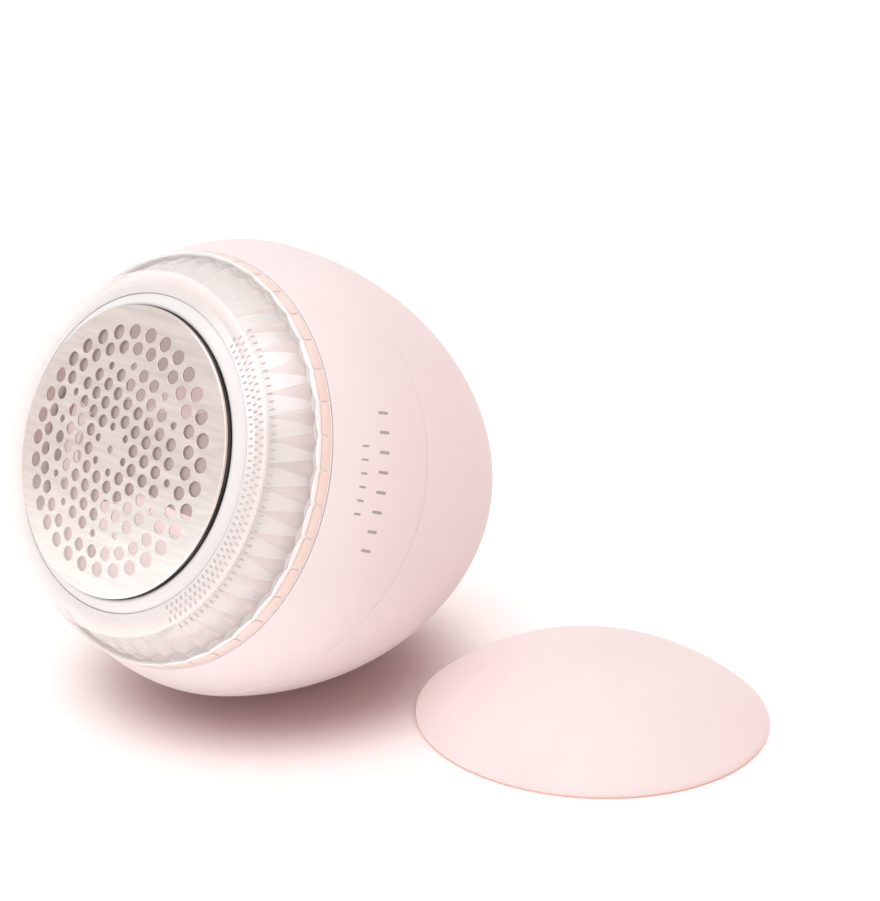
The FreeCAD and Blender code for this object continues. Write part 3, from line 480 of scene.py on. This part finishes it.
def skin(run, inset=0.0):
    """(radius, height) on the body's skin, a distance along it from the mouth, inset by a depth."""
    if run < FRONT_RUN:
        angle = MOUTH_ANGLE - run / FRONT_ARC
        centre, radius = (BODY_R - FRONT_ARC, -BELLY), FRONT_ARC
    elif run < FRONT_RUN + REAR_RUN:
        angle = -(run - FRONT_RUN) / REAR_ARC
        centre, radius = (BODY_R - REAR_ARC, -BELLY), REAR_ARC
    else:
        angle = -JOIN_ANGLE - (run - FRONT_RUN - REAR_RUN) / POLE_R
        centre, radius = (0.0, POLE_R - POLE), POLE_R
    return (centre[0] + (radius - inset) * math.cos(angle),
            centre[1] + (radius - inset) * math.sin(angle))


def seam_run(angle, gap):
    """How far along the skin the seam lies at an angle round the axis, found by halving."""
    low, high = 0.0, FRONT_RUN + REAR_RUN
    centre = SEAM_R - SEAM_BACK
    for _ in range(40):
        middle = (low + high) / 2
        radius, height = skin(middle)
        reach = math.hypot(radius * math.sin(angle), height - centre)
        if reach < SEAM_R + gap:
            low = middle
        else:
            high = middle
    return low


def shell_section(start, end, rows_along):
    """(run, inset) round a shell's wall: a rounded lip, the skin, a rounded lip, the inside."""
    lip = []
    for turn in (0, 22.5, 45, 67.5, 90):
        lip.append((SHELL_LIP * (1 - math.sin(math.radians(turn))),
                    SHELL_LIP * (1 - math.cos(math.radians(turn)))))
    first, last = start + SHELL_LIP, end - SHELL_LIP
    along = [first + (last - first) * row / rows_along for row in range(1, rows_along)]
    section = [(start + run, inset) for run, inset in reversed(lip)]
    section += [(run, 0.0) for run in along]
    section += [(end - run, inset) for run, inset in lip]
    section.append((end, WALL))
    section += [(run, WALL) for run in reversed(along)]
    section.append((start, WALL))
    return section


def shell(name, start_run, end_run, rows_along):
    """A curved shell between two edges, each a function of the angle round the axis."""
    columns = []
    for step in range(SHELL_COLUMNS):
        angle = TAU * step / SHELL_COLUMNS
        column = []
        for run, inset in shell_section(start_run(angle), end_run(angle), rows_along):
            radius, height = skin(run, inset)
            column.append(polar(radius, angle, height))
        columns.append(column)
    rows = [[column[index] for column in columns] for index in range(len(columns[0]))]
    return from_grid(name, rows, SHAVER, [PINK])


def rear_cutter(name, radius, matrix):
    """A round bar along the axis that reaches through the rear of the body."""
    outline = [(0, CUT_FROM), (radius, CUT_FROM), (radius, CUT_TO), (0, CUT_TO)]
    return lathe(name, outline, CUTTER_COLUMNS, matrix, [], wrap=False)


def body_shells():
    """The front and rear shells, with the charging slot and the light's hole in the rear."""
    front = shell("front_shell_skin", lambda angle: 0.0,
                  lambda angle: seam_run(angle, -SEAM_GAP / 2), 26)
    rear = shell("rear_shell_skin", lambda angle: seam_run(angle, SEAM_GAP / 2),
                 lambda angle: BUTTON_RUN, 60)
    widen = Matrix.Diagonal((SLOT_HALF_WIDTH / SLOT_HALF_HEIGHT, 1, 1, 1))
    place = SHAVER @ Matrix.Translation((0, -SOCKET_DOWN, 0)) @ widen @ SHAVER.inverted()
    slot = rear_cutter("slot_cutter", SLOT_HALF_HEIGHT, SHAVER)
    slot.data.transform(place)
    carve(rear, slot)
    place = SHAVER @ Matrix.Translation((0, LENS_UP, 0))
    carve(rear, rear_cutter("lens_cutter", LENS_HOLE_R, place))
    for piece, node in ((front, "front_shell"), (rear, "rear_shell")):
        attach(piece, "housing")
        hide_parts(node)


# Rows of bars: distance from the mouth, how many, pitch, length and width
MARK_ROWS = ((9.2, 8, 3.3, 1.9, 0.5), (5.6, 6, 2.3, 1.2, 0.34))
MARK_PROUD, MARK_TURN = 0.03, -0.02


def on_skin(start, middle):
    """Places about a point of the skin: a goes along it, b goes round it."""
    def place(a, b, depth):
        radius, height = skin(start + a, depth - MARK_PROUD)
        return polar(radius, middle + b / radius, height)
    return place


def printed_marks():
    """A plain ornament of short bars where the real one carries a printed mark."""
    work = bmesh.new()
    for run, count, pitch, length, width in MARK_ROWS:
        for index in range(count):
            middle = (index - (count - 1) / 2) * pitch / BODY_R + MARK_TURN
            cushion(work, on_skin(run, middle), length / 2, width / 2, width * 0.4, 0.06, 0.02)
    piece = from_bmesh(work, "printed_marks", [PRINT])
    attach(piece, "housing")


# ---------------------------------------------------------------- clear collar

LOBES, TEETH = 40, 50
COLUMNS = 400
TOOTH_COLUMNS = COLUMNS // TEETH
GROOVE_TO, GROOVE_FROM = 2, 6       # columns of a tooth where its slopes end and start again
BAND_RUN, WAVE_RUN = 2.15, 2.85     # how far up the wall the pads and the wavy ridge reach
RECESS_DEPTH = 0.22                 # of the band round the foot that the pads sit in
RING_GAP, RIM_CORNER = 0.06, 0.6
HOOK_R, HOOK_BACK = RING_R + 1.8, 5.5


def bulge(start, end, radius, steps):
    """An arc from start to end that bows away from the axis."""
    first, last = Vector(start), Vector(end)
    chord = last - first
    normal = Vector((-chord.y, chord.x)).normalized()
    depth = math.sqrt(radius ** 2 - (chord.length / 2) ** 2)
    centre = (first + last) / 2 - normal * depth
    from_angle = math.atan2(first.y - centre.y, first.x - centre.x)
    to_angle = math.atan2(last.y - centre.y, last.x - centre.x)
    return arc(centre, radius, math.degrees(from_angle), math.degrees(to_angle), steps)


OUTER_WALL = bulge((RIM_R, -RIM_BACK - 0.7), (MOUTH_R, -MOUTH), COLLAR_BULGE, 24)
INNER_WALL = bulge((RIM_R - 1.1, -RIM_BACK - COLLAR_WALL), (MOUTH_R - COLLAR_WALL, -MOUTH),
                   COLLAR_BULGE - COLLAR_WALL, 18)
WALL_LENGTH = sum((Vector(second) - Vector(first)).length
                  for first, second in zip(OUTER_WALL, OUTER_WALL[1:]))


def along_wall(run, depth=0.0):
    """(radius, height) at a distance up the wall's outside from its foot, sunk by a depth."""
    points = list(reversed(OUTER_WALL))
    for first, second in zip(points, points[1:]):
        step = Vector(second) - Vector(first)
        if run <= step.length or second == points[-1]:
            place = Vector(first) + step.normalized() * run
            inward = Vector((-step.y, step.x)).normalized()
            return tuple(place + inward * depth)
        run -= step.length


def ring_row(radius, height):
    """One plain ring of (radius, angle, height)."""
    return [(radius, TAU * step / COLUMNS, height) for step in range(COLUMNS)]


def facet_row(radius, height, reach):
    """One ring of the inner wall, reach 0 at the rim to 1 at the foot. Each tooth has a facet
    with its base at the rim, and two slopes that meet in a groove at the foot."""
    row = []
    left = 0.01 + 0.48 * reach
    for step in range(COLUMNS):
        tooth, index = divmod(step, TOOTH_COLUMNS)
        if index <= GROOVE_TO:
            t = left * index / 2
        elif index <= GROOVE_FROM:
            t = left + (1 - 2 * left) * (index - GROOVE_TO) / 4
        else:
            t = 1 - left + left * (index - GROOVE_FROM) / 2
        slope = max(0.0, left - min(t, 1 - t)) * 2
        row.append((radius + 0.7 * slope, TAU * (tooth + t) / TEETH, height))
    return row


def annulus_points():
    """(radius, height) from beside the white ring out and round the collar's rim."""
    start, end, parts = RING_R + RING_GAP, RIM_R - RIM_CORNER, 10
    flat = [(start + part * (end - start) / parts, -RIM_BACK) for part in range(parts + 1)]
    return flat + arc((end, -RIM_BACK - RIM_CORNER), RIM_CORNER, 75, 15, 4)


def underside_rows():
    """Fine teeth under the annulus, and the hook that runs round the white ring."""
    rows = []
    for part in range(3, -1, -1):
        radius = HOOK_R + part * (RIM_R - HOOK_R - 1.3) / 4
        rows.append([(radius, angle, -RIM_BACK - COLLAR_WALL
                      + 0.10 * abs(math.sin(angle * LOBES * 2)))
                     for _, angle, _ in ring_row(radius, 0.0)])
    for radius, height in ((HOOK_R, -HOOK_BACK), (RING_R + 0.3, -HOOK_BACK),
                           (RING_R + RING_GAP, -3.6)):
        rows.append(ring_row(radius, height))
    return rows


def clear_collar():
    """The collar: front annulus with fine teeth below, smooth wall, and zigzag facets inside."""
    annulus = annulus_points()
    recess = [along_wall(BAND_RUN), along_wall(BAND_RUN - 0.05, RECESS_DEPTH),
              along_wall(0.22, RECESS_DEPTH), along_wall(0.16), along_wall(0.0)]
    rows = [ring_row(radius, height) for radius, height in annulus + OUTER_WALL[:-1]
            if height > recess[0][1] + 0.05 or radius < RIM_R]
    recess_from = len(rows)
    rows += [ring_row(radius, height) for radius, height in recess]
    facets_from = len(rows)
    count = len(INNER_WALL) - 1
    for index, (radius, height) in enumerate(reversed(INNER_WALL)):
        rows.append(facet_row(radius, height, 1 - index / count))
    facets_to = len(rows) - 1
    rows += underside_rows()
    points = [[polar(*point) for point in row] for row in rows]

    smooth, frosted, tinted, foot, flat = range(5)
    foot_to, flat_to, rim_highlight_row = facets_from + 4, 5, len(annulus) - 4

    # Painted light and shade: the first four facet rows take the glowing foot copy, each tooth's groove slopes the
    # frosted lit copy and its facets the tinted shaded copy, the annulus copy marks its inner rows and a painted
    # highlight row at the rim, and from the wall's last row on all else takes the frosted copy, which hides the
    # shade in the recess under the pads.
    def pick(polygon):
        row, column = divmod(polygon.index, COLUMNS)
        if facets_from <= row < facets_to:
            if row < foot_to:
                return foot
            return frosted if GROOVE_TO <= column % TOOTH_COLUMNS < GROOVE_FROM else tinted
        if row < len(annulus):
            return flat if row < flat_to or row == rim_highlight_row else tinted
        return frosted if row >= recess_from - 1 else smooth

    piece = from_grid("lint_collar_clear", points, SHAVER,
                      [CLEAR, FROSTED_LIT, TINTED_SHADE, FOOT_GLOW, ANNULUS], pick=pick)
    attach(piece, "collar")
    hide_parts("lint_collar")


def on_band(middle):
    """Places about the middle of a pad: a goes round the collar, b goes up its wall."""
    def place(a, b, depth):
        radius, height = along_wall(BAND_RUN / 2 + b, depth)
        return polar(radius, middle + a / MOUTH_R, height)
    return place


def collar_band():
    """Forty glossy pads round the collar's foot."""
    work = bmesh.new()
    for pad in range(LOBES):
        cushion(work, on_band(TAU * (pad + 0.5) / LOBES), 2.66, 0.90, 0.5, 0.3)
    piece = from_bmesh(work, "collar_band_pads", [SALMON])
    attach(piece, "collar")


TICK_ROWS, TICKS, TICK_PITCH, TICKS_FROM = 4, 44, TAU / 150, math.radians(-62)
TICK_HEIGHT, TICK_ROW_PITCH = 0.08, 1.1


def on_rim(row, middle):
    """Places about the middle of a tick: a goes across its row, b goes round the collar. The
    last row lies past the annulus, on the wall."""
    def place(a, b, depth):
        if row < TICK_ROWS - 1:
            radius = RING_R + 0.9 + TICK_ROW_PITCH * row + a
            height = TICK_HEIGHT - RIM_BACK - depth
        else:
            radius, height = along_wall(WALL_LENGTH - 0.8 - a, depth - TICK_HEIGHT)
        return polar(radius, middle + b / radius, height)
    return place


def collar_knurl():
    """Rows of fine raised ticks on the +X side: three on the front annulus, one past its edge. Their grey is
    painted shade, and they stand only on this side, where the light shows them.
    """
    work = bmesh.new()
    for row in range(TICK_ROWS):
        for tick in range(TICKS):
            middle = TICKS_FROM + TICK_PITCH * (tick + row % 2 / 2)
            cushion(work, on_rim(row, middle), 0.40, 0.15, 0.12, 0.14, 0.03)
    piece = from_bmesh(work, "collar_knurl_ticks", [KNURL_PAINTED_SHADE])
    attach(piece, "collar")


# Across the ridge: share of its width, and depth, where less than nothing stands proud
RIDGE_PROFILE = ((0.0, 0.35), (0.0, 0.0), (0.18, -0.10), (0.5, -0.13), (0.82, -0.10),
                 (1.0, 0.0), (1.0, 0.35))


def collar_wave():
    """A white ridge above the pads, whose upper edge waves once a pad."""
    rows = []
    for share, depth in RIDGE_PROFILE:
        row = []
        for step in range(COLUMNS):
            angle = TAU * step / COLUMNS
            wave = 0.42 * abs(math.sin(angle * LOBES / 2)) ** 0.7
            run = BAND_RUN - 0.02 + share * (WAVE_RUN - BAND_RUN - 0.15 + wave)
            radius, height = along_wall(run, depth)
            row.append(polar(radius, angle, height))
        rows.append(row)
    piece = from_grid("collar_wave_ridge", rows, SHAVER, [FROSTED_LIT])
    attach(piece, "collar")


# ---------------------------------------------------------------- cutting head

SECTORS = 6
FIELD_NORMS, FINE_NORM = (3, 4, 7, 9, 12, 13, 16, 19), 21   # squared distances, in pitches
FINE_CIRCLE = 1.22 * HOLE_PITCH
HOLE_COLUMNS, FOIL_COLUMNS = 32, 360
HOLE_LIPS = ((0.0, -0.09), (0.035, -0.035), (0.11, -0.008), (0.22, 0.0))   # (reach, drop)
FOIL_ROLL = 0.45                        # radius of the foil's rolled edge
FOIL_FLAT = FOIL_R - FOIL_ROLL
GRID_PITCH = 0.8                        # of the points between the holes


def foil_holes():
    """(x, y, radius) of each hole: two rings, then a triangular lattice with finer holes."""
    holes = []
    for circle, radius, half in ((OUTER_CIRCLE, OUTER_HOLE, 0.0),
                                 (SECOND_CIRCLE, SECOND_HOLE, 0.5)):
        for index in range(RING_HOLES):
            angle = LATTICE_TURN + TAU * (index + half) / RING_HOLES
            holes.append((circle * math.cos(angle), circle * math.sin(angle), radius))
    for sector in range(SECTORS):
        turn = LATTICE_TURN + TAU * sector / SECTORS
        for along in range(1, 5):
            for beside in range(0, 5):
                norm = along ** 2 + along * beside + beside ** 2
                if norm not in FIELD_NORMS and norm != FINE_NORM:
                    continue
                x = (along + beside / 2) * HOLE_PITCH
                y = beside * math.sqrt(3) / 2 * HOLE_PITCH
                radius = FINE_HOLE if norm == FINE_NORM else FIELD_HOLE
                holes.append((x * math.cos(turn) - y * math.sin(turn),
                              x * math.sin(turn) + y * math.cos(turn), radius))
        holes.append((FINE_CIRCLE * math.cos(turn), FINE_CIRCLE * math.sin(turn), FINE_HOLE))
    holes.append((0.0, 0.0, FINE_HOLE))
    return holes


def dome_height(radius):
    return FOIL_RISE - DOME_R + math.sqrt(DOME_R ** 2 - radius ** 2)


def foil_points(holes):
    """Flat points of the foil, how far each drops below the dome, and the edges to keep."""
    points, drops, edges = [], [], []

    def ring(x, y, radius, count, drop):
        first = len(points)
        for index in range(count):
            angle = TAU * index / count
            points.append(Vector((x + radius * math.cos(angle), y + radius * math.sin(angle))))
            drops.append(drop)
            edges.append((first + index, first + (index + 1) % count))

    ring(0, 0, FOIL_FLAT, FOIL_COLUMNS, 0.0)
    for x, y, radius in holes:
        for reach, drop in HOLE_LIPS:
            ring(x, y, radius + reach, HOLE_COLUMNS, drop)
    span = int(FOIL_R / GRID_PITCH) + 1
    for i in range(-span, span + 1):
        for j in range(-span, span + 1):
            x = (i + (j % 2) / 2) * GRID_PITCH
            y = j * GRID_PITCH * math.sqrt(3) / 2
            if math.hypot(x, y) > FOIL_FLAT - 0.3:
                continue
            if all(math.hypot(x - hx, y - hy) > radius + 0.4 for hx, hy, radius in holes):
                points.append(Vector((x, y)))
                drops.append(0.0)
    return points, drops, edges


def foil_faces(flat, triangles, holes):
    """The triangles that are metal: inside the rim and outside every hole."""
    faces = []
    for face in triangles:
        centre = sum((flat[index] for index in face), Vector((0, 0))) / 3
        if centre.length > FOIL_FLAT:
            continue
        if all((centre - Vector((x, y))).length > radius - 0.01 for x, y, radius in holes):
            faces.append(face)
    return faces


def open_edges(faces):
    """The directed edges that only one triangle has."""
    border = {}
    for a, b in ((face[i], face[(i + 1) % 3]) for face in faces for i in range(3)):
        if (b, a) in border:
            del border[(b, a)]
        else:
            border[(a, b)] = True
    return border


def foil_piece():
    """The foil: a domed disc with pierced holes, whose lips are rolled in, and a rolled edge."""
    holes = foil_holes()
    points, drops, edges = foil_points(holes)
    flat, _, triangles, _, _, _ = delaunay_2d_cdt(points, edges, [], 0, 1e-5)
    top = foil_faces(flat, triangles, holes)
    work = bmesh.new()
    upper, lower = [], []
    for point, drop in zip(flat, drops):
        height = dome_height(point.length)
        upper.append(work.verts.new((point.x, point.y, height + drop)))
        lower.append(work.verts.new((point.x, point.y, height - FOIL_THICK)))
    for face in top:
        work.faces.new([upper[index] for index in face])
        work.faces.new([lower[index] for index in reversed(face)])
    border = open_edges(top)
    limit = FOIL_FLAT - 0.01
    for a, b in border:
        if flat[a].length < limit:
            work.faces.new((upper[b], upper[a], lower[a], lower[b]))
    rim = sorted({index for pair in border for index in pair if flat[index].length >= limit},
                 key=lambda index: math.atan2(flat[index].y, flat[index].x))
    roll_rim(work, flat, rim, upper, lower)
    for vertex in [vertex for vertex in work.verts if not vertex.link_faces]:
        work.verts.remove(vertex)

    back_to_shaver = SHAVER.inverted()
    satin, dark_wall = 0, 1

    # The foil's outer wall below the roll takes the near-black painted dark reflection.
    def pick(polygon):
        centre = back_to_shaver @ polygon.center
        outside = math.hypot(centre.x, centre.y) > FOIL_R - 0.1
        return dark_wall if outside and centre.z < -0.32 else satin

    piece = from_bmesh(work, "cutter_foil_skin", [FOIL, FOIL_WALL_PAINTED_DARK], pick)
    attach(piece, "head")
    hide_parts("cutter_foil")


def roll_rim(work, flat, rim, upper, lower):
    """The foil's rolled edge and its wall, down to the skirt's end and back up inside."""
    top, inner = dome_height(FOIL_FLAT), FOIL_R - FOIL_THICK
    outline = [(FOIL_FLAT + FOIL_ROLL * math.sin(turn), top - FOIL_ROLL * (1 - math.cos(turn)))
               for turn in (math.radians(18 * step) for step in range(1, 6))]
    outline += [(FOIL_R, -FOIL_WALL), (FOIL_R, -FOIL_SKIRT), (inner, -FOIL_SKIRT),
                (inner, -FOIL_WALL), (inner, top - FOIL_ROLL), (inner - 0.1, top - 0.33)]
    angles = [math.atan2(flat[index].y, flat[index].x) for index in rim]
    rings = [[upper[index] for index in rim]]
    for radius, height in outline:
        rings.append([work.verts.new(polar(radius, angle, height)) for angle in angles])
    rings.append([lower[index] for index in rim])
    join_rings(work, rings)


def foil_ring_piece():
    """The white ring, with a rounded nose, a fine parting step and its lugs."""
    inner, parting = FOIL_R + 0.03, RING_R - 0.15
    outline = rounded([
        (inner, -FOIL_WALL - 0.05), (FOIL_R + 0.5, -FOIL_WALL + 0.08),
        (RING_R - 0.75, -RIM_BACK + 0.55), (RING_R, -RIM_BACK - 0.15),
        (RING_R, -5.4), (parting, -5.5), (parting, -5.9), (RING_R, -6.0),
        (RING_R, -RING_BACK), (inner, -RING_BACK)], 0.3, 4)
    piece = lathe("foil_ring_skin", outline, 256, SHAVER, [WHITE])
    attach(piece, "head")
    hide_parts("foil_ring")
    for index in range(LUGS):
        lug = lug_piece(index)
        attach(lug, "head")


LUG_HALF, LUG_STEPS = math.radians(11), 12
LUG_SECTION = ((RING_R - 0.4, -5.9), (LUG_R - 0.1, -5.95), (LUG_R, -6.1), (LUG_R, -7.3),
               (RING_R - 0.4, -7.4))


def lug_piece(index):
    """A lug with a chamfered front edge, part of a ring."""
    work = bmesh.new()
    rings = []
    for step in range(LUG_STEPS + 1):
        angle = TAU * index / LUGS - LUG_HALF + 2 * LUG_HALF * step / LUG_STEPS
        rings.append([work.verts.new(polar(radius, angle, height))
                      for radius, height in LUG_SECTION])
    join_rings(work, rings)
    work.faces.new(rings[0])
    work.faces.new(list(reversed(rings[-1])))
    return from_bmesh(work, f"foil_ring_lug_{index}", [WHITE])


# ---------------------------------------------------------------- button and cap

DISH_R, DISH_DEPTH = 5.2, 0.45
FLANGE_R, FLANGE_BACK, FLANGE_FRONT = BUTTON_R + 1.2, -POLE + 3.7, -POLE + 4.6
RECESS_R, RECESS_FRONT = 2, -POLE + 4.43


def pole_height(radius):
    return POLE_R - POLE - math.sqrt(POLE_R ** 2 - radius ** 2)


def button_piece():
    """The button's face follows the pole, with a shallow thumb dish and a rounded edge. A flange
    keeps it in the shell, and a recess in the flange's front keeps it off the switch."""
    outline = [(0.0, -POLE + DISH_DEPTH)]
    for step in range(1, 13):
        radius = BUTTON_R * step / 13
        dish = DISH_DEPTH * max(0.0, 1 - (radius / DISH_R) ** 2) ** 2
        outline.append((radius, pole_height(radius) + dish))
    edge = pole_height(BUTTON_R)
    outline += [(BUTTON_R - 0.12, edge + 0.03), (BUTTON_R, edge + 0.3), (BUTTON_R, FLANGE_BACK),
                (FLANGE_R, FLANGE_BACK), (FLANGE_R, FLANGE_FRONT), (RECESS_R, FLANGE_FRONT),
                (RECESS_R, RECESS_FRONT), (0, RECESS_FRONT)]
    piece = lathe("power_button_cap", outline, 128, SHAVER, [BUTTON], wrap=False)
    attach(piece, "button")
    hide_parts("power_button")


CAP_COLUMNS, DOME_STEPS = 256, 48


def dome_arc(radius, half_angle):
    """(radius, height) out from the top of a dome about the cap's centre of curvature."""
    points = []
    for step in range(1, DOME_STEPS + 1):
        angle = half_angle * step / DOME_STEPS
        points.append((radius * math.sin(angle),
                       CAP_HEIGHT - CAP_DOME + radius * math.cos(angle)))
    return points


def cap_piece():
    """The cap: a shallow dome with a crisp lip whose lower edge carries a painted warm shade, and an even wall."""
    inner_dome = CAP_DOME - CAP_WALL
    outer = [(0.0, CAP_HEIGHT)] + dome_arc(CAP_DOME, math.asin(CAP_R / CAP_DOME) * 0.985)
    edge = [(CAP_R - 0.1, CAP_EDGE + 0.02), (CAP_R - 0.01, CAP_EDGE - 0.2), (CAP_R, 0.35),
            (CAP_R - 0.05, 0.12), (CAP_R - 0.2, 0.0), (CAP_R - 0.75, 0.0), (CAP_R - 0.93, 0.1)]
    inner = list(reversed(dome_arc(inner_dome, math.asin((CAP_R - 0.97) / inner_dome))))
    inner.append((0.0, CAP_HEIGHT - CAP_WALL))
    # The lip below 0.35 mm and its underside take the painted shade.
    lip_from = (len(outer) + 2) * CAP_COLUMNS
    lip_to = (len(outer) + len(edge)) * CAP_COLUMNS
    pink, tint = 0, 1
    piece = lathe("cap_shell_skin", outer + edge + inner, CAP_COLUMNS, CAP,
                  [CAP_PINK, CAP_EDGE_SHADE], wrap=False,
                  pick=lambda polygon: tint if lip_from <= polygon.index < lip_to else pink)
    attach(piece, "cap")
    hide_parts("cap_shell")


# ---------------------------------------------------------------- stage, light and camera

FLOOR_HALF = 4.0                          # metres
# The floor's painted contact shadow: where it starts to fade and where it ends, and its darkest colour.
CONTACT_FROM, CONTACT_TO = 0.02, 0.043    # metres from the middle of the contact
CONTACT_SHADE = (0.50, 0.365, 0.37)
WORLD_WHITE, WORLD_PINK, WORLD_STRENGTH = (1.0, 0.995, 0.99), (0.88, 0.55, 0.52), 1.16
PINK_SIDE = Vector((0.76, 0.55, -0.35)).normalized()
SUN_COLOUR, CARD_COLOUR, CARD_SIZE = (1.0, 0.99, 0.985), (0.94, 0.975, 1.0), 0.3

# Name, strength, softness in degrees, and where the light comes from
SUNS = (("overhead_softbox", 0.75, 45, (0.05, -0.25, 1.0)),
        ("front_softbox", 0.4, 50, (0.6, -0.85, 0.75)),
        ("table_bounce", 0.85, 60, (-0.1, -0.45, -0.9)))
# Name, power, and the place in metres of a square card that faces the foil
CARDS = (("left_card", 0.02, (-0.275, -0.27, 0.06)),
         ("front_card", 0.05, (0.08, -0.36, 0.05)))


def tint_world(tree):
    """White surroundings that turn a warm pink low down on the cap's side."""
    background = tree.nodes["Background"]
    coordinates = tree.nodes.new("ShaderNodeTexCoord")
    facing = add(tree, "ShaderNodeVectorMath", operation="DOT_PRODUCT")
    facing.inputs[1].default_value = PINK_SIDE
    ramp = colour_ramp(tree, facing.outputs["Value"], 0.0, WORLD_WHITE, 0.9, WORLD_PINK)
    tree.links.new(coordinates.outputs["Generated"], facing.inputs[0])
    tree.links.new(ramp.outputs[0], background.inputs["Color"])
    background.inputs["Strength"].default_value = WORLD_STRENGTH


def paint_contact_shadow(tree, shader, ramp):
    """Painted contact shadow: darken the floor's colour softly towards the point where the body's belly touches
    it.
    """
    down = Vector((0, 0, -1))
    outward = (down - AXIS * down.dot(AXIS)).normalized()
    centre = FOIL_EDGE + (outward * (BODY_R - REAR_ARC) - AXIS * BELLY) * MM
    coordinates = tree.nodes.new("ShaderNodeTexCoord")
    distance = add(tree, "ShaderNodeVectorMath", operation="DISTANCE")
    distance.inputs[1].default_value = centre + down * REAR_ARC * MM
    fade = colour_ramp(tree, distance.outputs["Value"], CONTACT_FROM, CONTACT_SHADE,
                       CONTACT_TO, (1, 1, 1))
    fade.color_ramp.interpolation = "EASE"
    mix = add(tree, "ShaderNodeMix", data_type="RGBA", blend_type="MULTIPLY", Factor=1.0)
    first_colour, second_colour, mixed = mix.inputs[6], mix.inputs[7], mix.outputs[2]
    tree.links.new(coordinates.outputs["Object"], distance.inputs[0])
    tree.links.new(ramp.outputs[0], first_colour)
    tree.links.new(fade.outputs[0], second_colour)
    tree.links.new(mixed, shader.inputs["Base Color"])


def make_floor():
    """A wide pale floor, with a painted shadow round the place where the shaver rests."""
    size = FLOOR_HALF
    mesh = bpy.data.meshes.new("floor")
    mesh.from_pydata([(-size, -size, 0), (size, -size, 0), (size, size, 0), (-size, size, 0)],
                     [], [(0, 1, 2, 3)])
    floor = bpy.data.objects.new("floor", mesh)
    bpy.context.scene.collection.objects.link(floor)
    material, tree, shader = new_material("floor_white")
    ramp = colour_noise(tree, shader, (0.905, 0.835, 0.825), (0.925, 0.855, 0.845), 3.0)
    shader.inputs["Roughness"].default_value = 0.6
    paint_contact_shadow(tree, shader, ramp)
    mesh.materials.append(material)
    return floor


def add_lamp(name, kind, energy, colour, back):
    """A lamp that shines away from a direction."""
    data = bpy.data.lights.new(name, kind)
    data.energy = energy
    data.color = colour
    lamp = bpy.data.objects.new(name, data)
    lamp.rotation_euler = Vector(back).to_track_quat("Z", "Y").to_euler()
    bpy.context.scene.collection.objects.link(lamp)
    return lamp


def stage():
    """A pale floor and a white world. Three soft suns light the shaver from above, from the
    front and, as a bright table would, from below: the floor blocks none of them. Two cool
    cards add a little on the left and in front."""
    floor = make_floor()
    unblocked = bpy.data.collections.new("floor_lets_light_through")
    unblocked.objects.link(floor)
    unblocked.collection_objects[0].light_linking.link_state = "EXCLUDE"

    world = bpy.data.worlds.new("studio")
    world.use_nodes = True
    bpy.context.scene.world = world
    tint_world(world.node_tree)

    for name, energy, softness, towards in SUNS:
        lamp = add_lamp(name, "SUN", energy, SUN_COLOUR, towards)
        lamp.data.angle = math.radians(softness)
        lamp.light_linking.blocker_collection = unblocked
    for name, energy, place in CARDS:
        lamp = add_lamp(name, "AREA", energy, CARD_COLOUR, Vector(place) - FOIL_EDGE)
        lamp.data.size = CARD_SIZE
        lamp.location = place


CAMERA_FROM_FOIL = Vector((0.2383, -0.1962, 0.10205))
CAMERA_TURN, CAMERA_DROP, CAMERA_ROLL = (math.radians(angle) for angle in (40.67, 18.5, 0.26))
FOCAL_LENGTH, SENSOR_WIDTH = 77.83, 36.0


def camera():
    """The view from the front right, a little above."""
    level = math.cos(CAMERA_DROP)
    look = Vector((-math.sin(CAMERA_TURN) * level, math.cos(CAMERA_TURN) * level,
                   -math.sin(CAMERA_DROP)))
    data = bpy.data.cameras.new("camera")
    data.lens = FOCAL_LENGTH
    data.sensor_width = SENSOR_WIDTH
    data.clip_start = 0.01
    item = bpy.data.objects.new("camera", data)
    item.location = FOIL_EDGE + CAMERA_FROM_FOIL
    turn = look.to_track_quat("-Z", "Y").to_matrix() @ Matrix.Rotation(CAMERA_ROLL, 3, "Z")
    item.rotation_euler = turn.to_euler()
    bpy.context.scene.collection.objects.link(item)
    bpy.context.scene.camera = item


body_shells()
printed_marks()
clear_collar()
collar_band()
collar_knurl()
collar_wave()
foil_piece()
foil_ring_piece()
button_piece()
cap_piece()
stage()
camera()
bpy.context.scene.view_settings.view_transform = "Standard"
